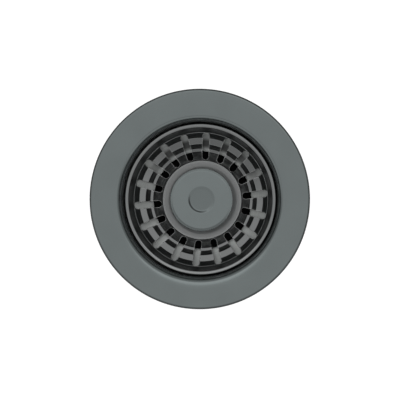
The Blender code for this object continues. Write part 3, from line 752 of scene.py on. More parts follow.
def object_place(material):
    return add_node(material, "ShaderNodeTexCoord").outputs["Object"]


def axis_parts(material):
    """(distance from the axis, angle round it, height) of the point being shaded."""
    axes = add_node(material, "ShaderNodeSeparateXYZ", {0: object_place(material)}).outputs
    flat = add_node(material, "ShaderNodeCombineXYZ", {0: axes[0], 1: axes[1]}).outputs[0]
    radius = add_node(material, "ShaderNodeVectorMath", {0: flat}, operation="LENGTH").outputs["Value"]
    return radius, math_node(material, "ARCTAN2", axes[1], axes[0]), axes[2]


def ring_noise(material, across, round_share, detail=3.0):
    """Noise drawn out round the axis: so many grains a metre across, and a few in a turn."""
    radius, angle, height = axis_parts(material)
    inputs = {
        0: math_node(material, "MULTIPLY", radius, across),
        1: math_node(material, "MULTIPLY", angle, round_share),
        2: math_node(material, "MULTIPLY", height, across),
    }
    coordinates = add_node(material, "ShaderNodeCombineXYZ", inputs).outputs[0]
    return noise(material, coordinates, 1.0, detail)


def noise(material, coordinates, scale, detail=3.0):
    inputs = {"Vector": coordinates, "Scale": scale, "Detail": detail}
    return add_node(material, "ShaderNodeTexNoise", inputs).outputs["Fac"]


def edge_mask(material, width, least):
    """Near 1 along edges, broken up by a fine noise, and 0 away from them."""
    rounded = add_node(material, "ShaderNodeBevel", {"Radius": width}, samples=4)
    surface = add_node(material, "ShaderNodeNewGeometry").outputs["Normal"]
    inputs = {0: rounded.outputs["Normal"], 1: surface}
    alike = add_node(material, "ShaderNodeVectorMath", inputs, operation="DOT_PRODUCT").outputs["Value"]
    edges = spread(material, alike, 1.0, 0.0, *EDGE_LIMITS)
    worn = spread(material, noise(material, object_place(material), WEAR_GRAIN, 4), least, 1.0)
    return math_node(material, "MULTIPLY", edges, worn)


def by_radius(material, limits, inside, outside):
    """A value that goes from one to the other between two distances from the axis."""
    return spread(material, axis_parts(material)[0], inside, outside, *limits)


def by_height(material, limits, below, above):
    """A value that goes from one to the other between two heights."""
    return spread(material, axis_parts(material)[2], below, above, *limits)


def side_band(material, inner, outer, direction):
    """1 on a band between two radii on one side of the axis, fading out round it."""
    turned = math_node(material, "SUBTRACT", axis_parts(material)[1], direction)
    facing = math_node(material, "COSINE", turned)
    facing = spread(material, facing, 0.0, 1.0, *BAND_FACING_LIMITS)
    soft = (outer - inner) * BAND_SOFT_SHARE
    from_inside = by_radius(material, (inner - soft, inner + soft), 0.0, 1.0)
    from_outside = by_radius(material, (outer - soft, outer + soft), 1.0, 0.0)
    band = math_node(material, "MULTIPLY", from_inside, from_outside)
    return math_node(material, "MULTIPLY", band, facing)


def add_bump(material, shader, height, strength, distance):
    inputs = {"Height": height, "Strength": strength, "Distance": distance}
    bump = add_node(material, "ShaderNodeBump", inputs)
    link(material, shader, Normal=bump.outputs["Normal"])


def shaded(colour, factor):
    return tuple(min(1, channel * factor) for channel in colour)


class WorkedMetal:
    """Metal with turning rings and cloudy tone, and drawing streaks where it is steep.

    Its tone, roughness and dullness are built up zone by zone, each zone a share from 0 to 1
    over the surface. streak_limits gives two heights between which the streaks fade upwards.
    """

    def __init__(self, name, colour, roughness, drawn_tone, streak_tone, streak_limits=None):
        material, self.shader = new_material(name, roughness, 1.0)
        self.material, self.colour = material, colour
        self.dullness = None
        self.rings = ring_noise(material, RING_GRAIN, RINGS_IN_TURN)
        self.streaks = ring_noise(material, STREAK_GRAIN, STREAKS_IN_TURN, detail=2.0)
        self.roughness = spread(
            material, self.rings, roughness - ROUGHNESS_FALL, roughness + ROUGHNESS_RISE
        )
        steepness = add_node(material, "ShaderNodeAttribute", attribute_name="steepness")
        self.steep = spread(material, steepness.outputs["Fac"], 0.0, 1.0, *STEEP_LIMITS)
        clouds = noise(material, object_place(material), CLOUD_GRAIN, 4)
        tints = [shaded(colour, tone) for tone in CLOUD_TONES]
        self.tone = mixed(material, spread(material, clouds, 0, 1), *tints)
        patches = noise(material, object_place(material), PATCH_GRAIN, 3)
        patches = spread(material, patches, LEAST_PATCH, 1, *PATCH_LIMITS)
        rubbed = self.overlap(spread(material, self.streaks, 0, 1), patches)
        if streak_limits:
            rubbed = self.overlap(rubbed, by_height(material, streak_limits, 1.0, HIGH_STREAKS))
        drawn = mixed(material, rubbed, shaded(colour, drawn_tone), shaded(colour, streak_tone))
        self.tint(self.steep, drawn)

    def overlap(self, first, second):
        """The share where two zones lie over each other."""
        return math_node(self.material, "MULTIPLY", first, second)

    def tint(self, zone, tone):
        """Give a zone a tone of its own."""
        self.tone = mixed(self.material, zone, self.tone, tone)

    def shade(self, zone, share):
        """Give a zone a share of the metal's own colour."""
        self.tint(zone, shaded(self.colour, share))

    def roughen(self, zone, amount):
        """Make a zone rougher by an amount."""
        extra = math_node(self.material, "MULTIPLY", zone, amount)
        self.roughness = math_node(self.material, "ADD", self.roughness, extra)

    def dull(self, zone, amount):
        """Take up to an amount of the metal's shine from a zone."""
        share = math_node(self.material, "MULTIPLY", zone, amount)
        if self.dullness is not None:
            share = math_node(self.material, "MAXIMUM", self.dullness, share)
        self.dullness = share

    def finish(self, worn_colour, bump=METAL_BUMP):
        """Wear the edges, which on the coatings is also a painted highlight, link what was built up to
        the shader and return the material.
        """
        material = self.material
        self.tint(edge_mask(material, EDGE_WIDTH, LEAST_WEAR), worn_colour)
        link(material, self.shader, Base_Color=self.tone, Roughness=self.roughness)
        if self.dullness is not None:
            metallic = math_node(material, "SUBTRACT", 1.0, self.dullness)
            link(material, self.shader, Metallic=metallic)
        high_streaks = math_node(material, "MULTIPLY", self.streaks, STREAK_BUMP_SHARE)
        height = math_node(material, "ADD", self.rings, high_streaks)
        add_bump(material, self.shader, height, bump, METAL_BUMP_DEPTH)
        return material


def rubbed_metal_and_highlight(name, colour, limits):
    """Bright, scratched metal along the edges of punched slots, with a painted highlight that is
    brightest where it lies low.
    """
    material, shader = new_material(name, EDGE_ROUGHNESS[0], EDGE_METALLIC)
    scratches = noise(material, object_place(material), SCRATCH_GRAIN, 4)
    low, high = shaded(colour, LOW_EDGE_HIGHLIGHT_TONE), shaded(colour, HIGH_EDGE_HIGHLIGHT_TONE)
    tone = mixed(material, by_height(material, limits, 0.0, 1.0), low, high)
    scratched = spread(material, scratches, 0, MOST_SCRATCHED)
    tone = mixed(material, scratched, tone, shaded(colour, SCRATCH_TONE))
    link(material, shader, Base_Color=tone, Roughness=spread(material, scratches, *EDGE_ROUGHNESS))
    add_bump(material, shader, scratches, SCRATCH_BUMP, SCRATCH_BUMP_DEPTH)
    return material


def moulded(name, colour, roughness, grain, bump, **sockets):
    """Rubber or nylon with a fine moulded grain and paler, rubbed edges."""
    material, shader = new_material(name, roughness, 0.0, **sockets)
    grains = noise(material, object_place(material), grain, 5)
    clouds = noise(material, object_place(material), MOULD_CLOUD_GRAIN)
    tints = [shaded(colour, tone) for tone in MOULD_TONES]
    tone = mixed(material, spread(material, clouds, 0, 1), *tints)
    edges = edge_mask(material, MOULD_EDGE_WIDTH, 0.0)
    tone = mixed(material, edges, tone, shaded(colour, MOULD_EDGE_TONE))
    least, most = roughness - MOULD_ROUGHNESS_SPREAD, roughness + MOULD_ROUGHNESS_SPREAD
    link(material, shader, Base_Color=tone, Roughness=spread(material, grains, least, most))
    add_bump(material, shader, grains, bump, MOULD_BUMP_DEPTH)
    return material


def speckled_fibre(name, colour):
    """Pressed fibre board: pale and dark flecks, laid flat, with no gloss."""
    material, shader = new_material(name, FIBRE_ROUGHNESS[0], 0.0)
    flecks = noise(material, object_place(material), FLECK_GRAIN, 6)
    shreds = ring_noise(material, SHRED_GRAIN, SHREDS_IN_TURN, detail=4.0)
    tints = [shaded(colour, tone) for tone in FLECK_TONES]
    tone = mixed(material, spread(material, flecks, 0, 1), *tints)
    shredded = spread(material, shreds, 0, MOST_SHREDDED)
    tone = mixed(material, shredded, tone, shaded(colour, SHRED_TONE))
    link(material, shader, Base_Color=tone, Roughness=spread(material, flecks, *FIBRE_ROUGHNESS))
    add_bump(material, shader, shreds, FIBRE_BUMP, MOULD_BUMP_DEPTH)
    return material


def coating(look, name, colour, streak_tone, drawn_tone=DRAWN_TONE, streak_limits=None):
    """The gunmetal coating, rougher where it is steep, for its piece to add zones to."""
    metal = WorkedMetal(
        name, colour, look.gunmetal_roughness, drawn_tone, streak_tone, streak_limits
    )
    metal.roughen(metal.steep, COATING_STEEP_ROUGHNESS)
    return metal


def bowl_finish(look):
    """The coating of the flange and the mouth, ending in bare steel under the basket, with painted shade
    on the flange's edge, below the mouth and on the bowl's far side.
    """
    flange = radii("strainer_body")[1]
    step = heights("strainer_body")[1] - SHOULDER_DROP
    metal = coating(look, "bowl_coating", tuple(look.gunmetal), BOWL_STREAK_TONE)
    material = metal.material
    dull_levels = [step - drop for drop in BOWL_DULL_DROPS]
    painted_shade_levels = [step - drop for drop in BOWL_PAINTED_SHADE_DROPS]
    painted_shade_radii = [flange - inset for inset in FLANGE_PAINTED_SHADE_INSETS]
    lit = by_height(material, dull_levels, 0.0, 1.0)
    metal.dull(metal.overlap(metal.steep, lit), BOWL_DULLNESS)
    # Painted shade: a dark line along the flange's outer edge
    metal.shade(by_radius(material, painted_shade_radii, 0.0, 1.0), FLANGE_PAINTED_SHADE_TONE)
    # Painted shade on the wall below the step, in the gap round the basket
    metal.shade(by_height(material, painted_shade_levels, 1.0, 0.0), BOWL_PAINTED_SHADE_TONE)
    bare = by_radius(material, BARE_RADII, 1.0, 0.0)
    steel = tuple(look.bare_bowl)
    # Painted shade: the far side of the bare steel is darkened where the basket shades it
    painted_shade_band = side_band(material, *PAINTED_SHADE_BAND_RADII, PAINTED_SHADE_BAND_DIRECTION)
    metal.tint(bare, mixed(material, painted_shade_band, steel, shaded(steel, PAINTED_SHADE_BAND_TONE)))
    metal.roughen(bare, BARE_ROUGHNESS)
    metal.dull(bare, BARE_DULLNESS)
    return metal.finish(tuple(look.edge_wear_and_highlight))


def basket_finish(look, limits, floor_radius):
    """The coating of the basket, duller and with brighter streaks on its steep walls low down, and with
    painted light on its floor.
    """
    metal = coating(
        look, "basket_coating", tuple(look.basket), BASKET_STREAK_TONE, streak_limits=limits
    )
    material = metal.material
    film = by_height(material, limits, LOW_DULLNESS, HIGH_DULLNESS)
    steep_share = spread(material, metal.steep, LEVEL_DULLNESS_SHARE, 1.0, 0.0, 1.0)
    metal.dull(film, steep_share)
    # Painted light: the floor is made paler and duller, to lift the knob's shade on it
    pale = by_radius(material, (floor_radius * FLOOR_PAINTED_LIGHT_SHARE, floor_radius), 1.0, 0.0)
    metal.shade(pale, FLOOR_PAINTED_LIGHT_TONE)
    metal.dull(pale, FLOOR_PAINTED_LIGHT_DULLNESS)
    return metal.finish(tuple(look.edge_wear_and_highlight))


def knob_finish(look, dimple):
    """The coating of the knob, duller in its dimple, with painted light on its steep side and a painted
    shade crescent at the dimple's edge.
    """
    colour = shaded(look.gunmetal, KNOB_BRIGHTNESS)
    # Painted light: the steep side is lightened to throw light onto the floor round the knob
    metal = coating(look, "knob_coating", colour, KNOB_SIDE_PAINTED_LIGHT_STREAK_TONE, KNOB_SIDE_PAINTED_LIGHT_TONE)
    material = metal.material
    metal.dull(metal.steep, KNOB_DULLNESS)
    inside = by_radius(material, (dimple * DIMPLE_EDGE_SHARE, dimple), 1.0, 0.0)
    metal.shade(inside, DIMPLE_TONE)
    metal.roughen(inside, DIMPLE_ROUGHNESS)
    # Painted shade: a crescent on one side of the dimple's edge
    inner, outer = (dimple * share for share in PAINTED_SHADE_CRESCENT_SHARES)
    metal.shade(side_band(material, inner, outer, PAINTED_SHADE_CRESCENT_DIRECTION), PAINTED_SHADE_CRESCENT_TONE)
    return metal.finish(tuple(look.edge_wear_and_highlight))


def collar_finish(look):
    metal = coating(look, "collar_coating", tuple(look.gunmetal), STREAK_TONE)
    metal.dull(metal.steep, COLLAR_DULLNESS)
    return metal.finish(tuple(look.edge_wear_and_highlight))


def bare_steel(look):
    metal = WorkedMetal(
        "bare_steel", tuple(look.steel), look.steel_roughness, METAL_DRAWN_TONE, STEEL_STREAK_TONE
    )
    metal.roughen(metal.steep, STEEL_STEEP_ROUGHNESS)
    return metal.finish(RUBBED_STEEL)


def nickel_plate(look):
    metal = WorkedMetal(
        "nickel_plate", tuple(look.plating), look.plating_roughness, METAL_DRAWN_TONE,
        NICKEL_STREAK_TONE,
    )
    metal.roughen(metal.steep, NICKEL_STEEP_ROUGHNESS)
    return metal.finish(RUBBED_NICKEL, NICKEL_BUMP)


def gasket_rubber(look):
    colour = tuple(look.rubber)
    return moulded("gasket_rubber", colour, GASKET_ROUGHNESS, RUBBER_GRAIN, GASKET_BUMP)


def stopper_rubber(look):
    name, colour = "stopper_rubber", tuple(look.stopper)
    shine = {"Specular IOR Level": look.stopper_shine}
    return moulded(name, colour, STOPPER_ROUGHNESS, RUBBER_GRAIN, STOPPER_BUMP, **shine)


def pressed_fibre(look):
    return speckled_fibre("pressed_fibre", tuple(look.fibre))


def white_nylon(look):
    return moulded("white_nylon", tuple(look.nylon), NYLON_ROUGHNESS, NYLON_GRAIN, NYLON_BUMP)


def shared(make, look):
    """The finish that a function makes, made once however many pieces wear it."""
    name = make.__name__
    if name not in FINISHES:
        FINISHES[name] = make(look)
    return FINISHES[name]


class SinkDrainSizes(bpy.types.PropertyGroup):
    """Sizes of the drawn, turned and cut forms."""

    mouth_fillet: bpy.props.FloatProperty(
        name="Mouth roll", description="Radius at which the flange rolls into the bowl",
        default=0.0030, min=0.001, unit="LENGTH",
    )
    dish_radius: bpy.props.FloatProperty(
        name="Dish radius", description="Radius at which the flange starts to fall to the mouth",
        default=0.0466, min=0.044, unit="LENGTH",
    )
    dish_slope: bpy.props.FloatProperty(
        name="Dish slope", description="Slope of the flange beside the mouth",
        default=math.radians(4.2), subtype="ANGLE",
    )
    rim_width: bpy.props.FloatProperty(
        name="Rim width", description="Width of the basket's rolled rim", default=0.0021,
        min=0.001, unit="LENGTH",
    )
    crease_radius: bpy.props.FloatProperty(
        name="Crease radius", description="Radius of the crease under the basket's rim",
        default=0.0347, unit="LENGTH",
    )
    floor_radius: bpy.props.FloatProperty(
        name="Floor radius", description="Radius of the basket's flat floor", default=0.0207,
        unit="LENGTH",
    )
    slot_count: bpy.props.IntProperty(
        name="Slots", description="Number of drain slots round the basket", default=18, min=3,
    )
    slot_width: bpy.props.FloatProperty(
        name="Slot width", description="Width of each drain slot", default=0.0033, min=0.001,
        unit="LENGTH",
    )
    slot_softening: bpy.props.FloatProperty(
        name="Slot edge", description="Width at which the slots' cut edges are rounded",
        default=0.0003, min=0, unit="LENGTH",
    )
    first_slot: bpy.props.FloatProperty(
        name="First slot", description="Direction of the first slot, from +X",
        default=math.radians(85.4), subtype="ANGLE",
    )
    dimple_radius: bpy.props.FloatProperty(
        name="Dimple", description="Radius of the dimple in the knob", default=0.0071,
        unit="LENGTH",
    )
    dimple_depth: bpy.props.FloatProperty(
        name="Dimple depth", description="Depth of the dimple in the knob", default=0.0002,
        unit="LENGTH",
    )
    thread_pitch: bpy.props.FloatProperty(
        name="Thread pitch", description="Rise of the outlet's thread in one turn",
        default=0.0022, min=0.0005, unit="LENGTH",
    )


def colour_property(name, description, default):
    return bpy.props.FloatVectorProperty(
        name=name, description=description, default=default, min=0, max=1, size=3, subtype="COLOR"
    )


def share_property(name, description, default):
    return bpy.props.FloatProperty(
        name=name, description=description, default=default, min=0, max=1, subtype="FACTOR"
    )


class SinkDrainFinish(bpy.types.PropertyGroup):
    """Colours and roughness of the drain's finishes."""

    gunmetal: colour_property(
        "Gunmetal", "Coating of the strainer body and the knob", (0.146, 0.165, 0.165)
    )
    basket: colour_property("Basket", "Coating of the basket", (0.182, 0.188, 0.188))
    # Worn edges of the coating, lightened also as a painted highlight along them
    edge_wear_and_highlight: colour_property(
        "Rubbed edge", "Edges where the gunmetal coating is rubbed thin", (0.60, 0.62, 0.61)
    )
    bare_bowl: colour_property(
        "Bare bowl", "Uncoated steel inside the bowl, under the basket", (0.47, 0.49, 0.48)
    )
    gunmetal_roughness: share_property("Gunmetal roughness", "Roughness of the coating", 0.12)
    steel: colour_property("Steel", "Bare drawn steel", (0.50, 0.51, 0.52))
    steel_roughness: share_property("Steel roughness", "Roughness of bare steel", 0.30)
    plating: colour_property("Plating", "Nickel plate on the brass pieces", (0.53, 0.52, 0.49))
    plating_roughness: share_property("Plating roughness", "Roughness of the nickel plate", 0.26)
    rubber: colour_property("Rubber", "Gaskets", (0.016, 0.016, 0.017))
    stopper: colour_property("Stopper", "Rubber of the stopper", (0.0025, 0.0025, 0.0025))
    stopper_shine: share_property("Stopper shine", "Specular level of the stopper's rubber", 0.06)
    fibre: colour_property("Fibre", "Pressed fibre rings", (0.22, 0.20, 0.17))
    nylon: colour_property("Nylon", "Post sleeve and tailpiece washer", (0.72, 0.71, 0.66))


class SinkDrainStudio(bpy.types.PropertyGroup):
    """Camera, light and floor."""

    frame_width: bpy.props.FloatProperty(
        name="Frame width", description="Width that the picture spans at the flange",
        default=0.2071, unit="LENGTH",
    )
    lens: bpy.props.FloatProperty(
        name="Lens", description="Focal length in millimetres", default=900, min=50,
    )
    lean_right: bpy.props.FloatProperty(
        name="Lean right", description="How far the camera leans from straight above towards +X",
        default=math.radians(2.0), subtype="ANGLE",
    )
    lean_front: bpy.props.FloatProperty(
        name="Lean front", description="How far the camera leans from straight above towards -Y",
        default=math.radians(0.8), subtype="ANGLE",
    )
    aim_right: bpy.props.FloatProperty(
        name="Aim right", description="Distance from the axis to the picture's middle, along +X",
        default=0.00018, unit="LENGTH",
    )
    aim_front: bpy.props.FloatProperty(
        name="Aim front", description="Distance from the axis to the picture's middle, along -Y",
        default=0.00054, unit="LENGTH",
    )
    softbox: bpy.props.FloatProperty(
        name="Softbox", description="Radiance of the lamp over the far side", default=0.62, min=0,
    )
    floor: colour_property("Floor", "Colour of the floor", (0.8, 0.8, 0.8))


class PieceOperator:
    """What all the modelling operators share."""

    bl_options = {"REGISTER", "UNDO"}

    def execute(self, context):
        self.model(context.scene.sink_drain_sizes, context.scene.sink_drain_finish)
        return {"FINISHED"}


class SINKDRAIN_OT_strainer_body(PieceOperator, bpy.types.Operator):
    """Model the flange, the bowl and its stopper seat as one drawn sheet"""

    bl_idname = "sink_drain.strainer_body"
    bl_label = "Strainer Body"

    def model(self, sizes, look):
        node = "strainer_body"
        flange = radii(node)[1]
        bottom, top = heights(node)
        lip = heights("flange_gasket")[0] + GAP
        bowl = radii(node, *BOWL_WALL_LEVELS)[0]
        neck = radii(node, bottom, bottom + BODY_WALL)[0]
        seat = heights("stopper")[0] - GAP
        seat_edge = radii("stopper")[1] + SEAT_MARGIN
        shoulder = bowl + SHOULDER_WIDTH
        dish = sizes.dish_radius - DISH_INNER_WIDTH
        dish_drop = DISH_INNER_WIDTH * math.tan(sizes.dish_slope)
        mouth = shoulder + MOUTH_BREAK_WIDTH
        mouth_drop = dish_drop + (dish - mouth) * math.tan(DISH_INNER_SLOPE)
        roll_drop = mouth_drop + MOUTH_BREAK_WIDTH * math.tan(MOUTH_BREAK_SLOPE)
        step = top - SHOULDER_DROP
        mouth_part = [
            (flange, lip),
            (flange, top, FLANGE_EDGE_FILLET),
            (sizes.dish_radius, top, DISH_FILLET),
            (dish, top - dish_drop, DISH_INNER_FILLET),
            (mouth, top - mouth_drop, MOUTH_BREAK_FILLET),
            (shoulder, top - roll_drop, sizes.mouth_fillet),
        ]
        sharp = [
            (shoulder - SHOULDER_LEAN, step, SHOULDER_FILLET / 2),
            (bowl, step - SHOULDER_FALL, SHOULDER_FILLET),
        ]
        eased = [(shoulder, step), (bowl, step - SHOULDER_EASE)]
        bowl_part = [
            (bowl, seat + BOWL_CONE_RISE, BOWL_FOOT_FILLET),
            (seat_edge, seat, SEAT_FILLET),
            (neck, seat, NECK_FILLET),
            (neck, bottom),
        ]
        under = other_face(mouth_part + eased + bowl_part, BODY_WALL)[::-1]
        body = turn("strainer_body_piece", mouth_part + sharp + bowl_part + under)
        hand_over(body, node, bowl_finish(look))


class SINKDRAIN_OT_basket_cup(PieceOperator, bpy.types.Operator):
    """Model the stepped basket with its rolled rim and its slots"""

    bl_idname = "sink_drain.basket_cup"
    bl_label = "Basket Cup"

    def model(self, sizes, look):
        node = "basket_cup"
        hole, rim, bottom, crest = extents(node)
        floor = bottom + BASKET_WALL
        crown = rim - sizes.rim_width
        root = crown - RIM_ROOT_INSET
        top = (root, crest - RIM_ROOT_DROP)
        crease = (sizes.crease_radius, crest - CREASE_DROP - CREASE_FALL)
        ledge = [
            (sizes.crease_radius + CREASE_LEDGE, crest - CREASE_DROP, CREASE_FILLET),
            (*crease, CREASE_FILLET),
        ]
        span = sizes.crease_radius - sizes.floor_radius
        edges = [sizes.floor_radius + share * span for share in UPPER_TREAD_SHARES + LOWER_TREAD_SHARES]
        upper, lower = crest - UPPER_TREAD_DROP, crest - LOWER_TREAD_DROP
        steps = [
            (edges[0], upper, TREAD_FOOT_FILLET),
            (edges[1], upper - UPPER_TREAD_FALL, TREAD_NOSE_FILLET),
            (edges[2], lower, TREAD_FOOT_FILLET),
            (edges[3], lower - LOWER_TREAD_FALL, TREAD_NOSE_FILLET),
            (sizes.floor_radius, floor, FLOOR_FILLET),
            (hole, floor),
        ]
        under = other_face([top, crease] + steps, BASKET_WALL)[:0:-1]
        rolled = [
            (root + BASKET_WALL, crest - RIM_HEIGHT),
            (rim, crest - RIM_HEIGHT, RIM_LOWER_FILLET),
            (rim, crest, RIM_OUTER_FILLET),
            (crown, crest - RIM_CROWN_FALL, RIM_INNER_FILLET),
        ]
        basket = turn("basket_cup_piece", [top] + ledge + steps + under + rolled)
        half = sizes.slot_width / 2
        near_end = PLAIN_FLOOR_RADIUS + SLOT_FLOOR_MARGIN
        far_end = sizes.crease_radius + SLOT_CREASE_OVERLAP
        low, high = bottom - CUT_OVERRUN, crest + CUT_OVERRUN
        cutter = rounded_block("slot_cutter", (near_end, -half, low), (far_end, half, high), half)
        turn_by(cutter, sizes.first_slot)
        copy_round(cutter, sizes.slot_count)
        combine(basket, cutter, "DIFFERENCE")
        limits = (floor, upper - UPPER_TREAD_FALL)
        # The slots' cut edges: rubbed bare metal with a painted highlight
        edge_finish = rubbed_metal_and_highlight("slot_edge", tuple(look.edge_wear_and_highlight), limits)
        basket.data.materials.append(basket_finish(look, limits, sizes.floor_radius))
        basket.data.materials.append(edge_finish)
        soften_edges(basket, sizes.slot_softening, material=1, clamp=False)
        hand_over(basket, node)


class SINKDRAIN_OT_knob(PieceOperator, bpy.types.Operator):
    """Model the knob with its dimple, and the collar under it"""

    bl_idname = "sink_drain.knob"
    bl_label = "Knob and Collar"

    def model(self, sizes, look):
        node = "knob"
        edge = radii(node)[1]
        bottom, top = heights(node)
        bore, collar, collar_bottom, collar_top = extents("knob_collar")
        neck = collar - KNOB_NECK_INSET
        lower = top - KNOB_CROWN_DROP - KNOB_EDGE
        dimple, depth = sizes.dimple_radius, sizes.dimple_depth
        corners = [
            (0, top - depth),
            (dimple - DIMPLE_WALL_WIDTH, top - depth, DIMPLE_FOOT_FILLET),
            (dimple, top, DIMPLE_LIP_FILLET),
            (edge - KNOB_CROWN_WIDTH, top, KNOB_CROWN_FILLET),
            (edge, top - KNOB_CROWN_DROP, KNOB_EDGE_FILLET),
            (edge, lower, NUT_FILLET),
            (edge - KNOB_UNDERCUT, lower - KNOB_UNDERCUT),
            (neck, bottom + KNOB_NECK_HEIGHT, KNOB_NECK_FILLET),
            (neck, bottom),
            (bore, bottom),
            (bore, bottom + KNOB_BORE_DEPTH),
            (0, bottom + KNOB_BORE_DEPTH),
        ]
        hand_over(turn("knob_piece", corners, closed=False), node, knob_finish(look, dimple))
        corners = [
            (bore, collar_bottom), (bore, collar_top), (collar, collar_top, COLLAR_CHAMFER),
            (collar, collar_bottom, COLLAR_CHAMFER),
        ]
        piece = turn("knob_collar_piece", corners, SMALL_TURN_STEPS)
        hand_over(piece, "knob_collar", collar_finish(look))


def ring_corners(inner, outer, bottom, top, fillet):
    """The four corners of a flat ring's section, rounded alike."""
    places = ((inner, bottom), (inner, top), (outer, top), (outer, bottom))
    return [(*place, fillet) for place in places]


def rounded_ring(node, material, fillet):
    """A flat ring with the size of its plain solid and with its four edges rounded."""
    corners = ring_corners(*extents(node), fillet)
    hand_over(turn(node + "_piece", corners), node, material)


class SINKDRAIN_OT_stopper(PieceOperator, bpy.types.Operator):
    """Model the rubber stopper and its two plates"""

    bl_idname = "sink_drain.stopper"
    bl_label = "Stopper and Plates"

    def model(self, sizes, look):
        node = "stopper"
        inner, outer, bottom, top = extents(node)
        web = top - STOPPER_THICKNESS
        corners = [
            (inner, top),
            (outer, top, STOPPER_TOP_FILLET),
            (outer, bottom, STOPPER_LIP_FILLET),
            (outer - STOPPER_LIP_WIDTH / 2, bottom, STOPPER_LIP_FILLET),
            (outer - STOPPER_LIP_WIDTH, web, STOPPER_LIP_FILLET),
            (inner, web),
        ]
        hand_over(turn("stopper_piece", corners), node, shared(stopper_rubber, look))
        for plate in ("upper_plate", "lower_plate"):
            rounded_ring(plate, shared(bare_steel, look), PLATE_FILLET)


class SINKDRAIN_OT_post(PieceOperator, bpy.types.Operator):
    """Model the post with its grooves and thread, and its lock washer and nut"""

    bl_idname = "sink_drain.post"
    bl_label = "Post, Washer and Nut"

    def model(self, sizes, look):
        self.model_post(look)
        self.model_lock_washer(look)
        self.model_nut(look)

    def model_post(self, look):
        node = "post"
        outer = radii(node)[1]
        bottom, top = heights(node)
        spring_bottom, spring_top = heights("sleeve_spring")
        shut = (spring_bottom + spring_top) / 2
        corners = [(0, top), (outer, top, POST_CHAMFER)]
        for level in (shut, shut - OPEN_LIFT):
            corners += [
                (outer, level + GROOVE_HALF_WIDTH, GROOVE_EDGE_FILLET),
                (outer - GROOVE_DEPTH, level, GROOVE_FILLET),
                (outer, level - GROOVE_HALF_WIDTH, GROOVE_EDGE_FILLET),
            ]
        corners += [
            (outer, bottom + POST_TIP_LENGTH, POST_CHAMFER),
            (POST_TIP_RADIUS, bottom, POST_CHAMFER),
            (0, bottom),
        ]
        post = turn("post_piece", corners, SMALL_TURN_STEPS, closed=False)
        low = heights("post_nut")[0] - POST_THREAD_END
        high = heights("lock_washer")[1]
        cut_thread(post, outer, POST_THREAD_DEPTH, POST_THREAD_PITCH, low, high)
        hand_over(post, node, shared(bare_steel, look))

    def model_lock_washer(self, look):
        node = "lock_washer"
        inner, outer, bottom, top = extents(node)
        corners = [
            (inner, bottom), (outer, bottom), (outer, bottom + LOCK_WASHER_WIRE),
            (inner, bottom + LOCK_WASHER_WIRE),
        ]
        rise = (top - bottom - LOCK_WASHER_WIRE) / LOCK_WASHER_TURNS
        washer = coil("lock_washer_piece", corners, LOCK_WASHER_TURNS, rise)
        soften_edges(washer, PLATE_FILLET / 2)
        hand_over(washer, node, shared(bare_steel, look))

    def model_nut(self, look):
        node = "post_nut"
        inner, corner, bottom, top = extents(node)
        clear_selection()
        middle = (0, 0, (bottom + top) / 2)
        bpy.ops.mesh.primitive_cylinder_add(
            vertices=NUT_SIDES, radius=corner, depth=top - bottom, location=middle
        )
        nut = bpy.context.object
        nut.name = "post_nut_piece"
        bpy.ops.object.transform_apply(location=True, rotation=False, scale=False)
        turn_by(nut, NUT_ANGLE)
        outer = corner + GAP
        corners = [
            (inner + NUT_BORE_CHAMFER, bottom - GAP), (inner, bottom + NUT_BORE_CHAMFER),
            (inner, top - NUT_BORE_CHAMFER), (inner + NUT_BORE_CHAMFER, top + GAP),
            (outer - 2 * NUT_CHAMFER, top + GAP), (outer, top - NUT_CHAMFER),
            (outer, bottom + NUT_CHAMFER), (outer - 2 * NUT_CHAMFER, bottom - GAP),
        ]
        combine(nut, turn("nut_blank", corners, SMALL_TURN_STEPS), "INTERSECT")
        hand_over(nut, node, shared(bare_steel, look))


class SINKDRAIN_OT_gaskets(PieceOperator, bpy.types.Operator):
    """Model the rubber gaskets and the fibre rings that clamp the sink"""

    bl_idname = "sink_drain.gaskets"
    bl_label = "Gaskets and Rings"

    def model(self, sizes, look):
        rounded_ring("flange_gasket", shared(gasket_rubber, look), GASKET_FILLET)
        node = "sink_gasket"
        inner, outer, bottom, top = extents(node)
        middle = (bottom + top) / 2
        side = outer - PARTING_LINE
        corners = [
            (inner, bottom, SINK_GASKET_FILLET),
            (inner, top, SINK_GASKET_FILLET),
            (side, top, SINK_GASKET_FILLET),
            (side, middle + PARTING_WIDTH),
            (outer, middle),
            (side, middle - PARTING_WIDTH),
            (side, bottom, SINK_GASKET_FILLET),
        ]
        hand_over(turn("sink_gasket_piece", corners), node, shared(gasket_rubber, look))
        for ring in ("friction_ring", "cup_washer"):
            rounded_ring(ring, shared(pressed_fibre, look), FIBRE_FILLET)


class SINKDRAIN_OT_mounting_cup(PieceOperator, bpy.types.Operator):
    """Model the drawn cup that pulls up against the sink"""

    bl_idname = "sink_drain.mounting_cup"
    bl_label = "Mounting Cup"

    def model(self, sizes, look):
        node = "mounting_cup"
        hole, lip, bottom, top = extents(node)
        inner = radii("strainer_body", *BOWL_WALL_LEVELS)[0] + BODY_WALL + CUP_CLEARANCE
        floor = bottom + CUP_WALL
        floor_edge = radii("cup_washer")[1] + CUP_FLOOR_MARGIN
        corners = [
            (lip, top - CUP_LIP),
            (lip, top, CUP_LIP_FILLET),
            (inner, top, CUP_MOUTH_FILLET),
            (inner, floor + CUP_CONE_RISE, CUP_FOOT_FILLET),
            (floor_edge, floor, CUP_FLOOR_FILLET),
            (hole, floor),
        ]
        cup = turn_sheet("mounting_cup_piece", corners, CUP_WALL)
        soften_edges(cup, CUP_HOLE_FILLET)
        hand_over(cup, node, shared(bare_steel, look))


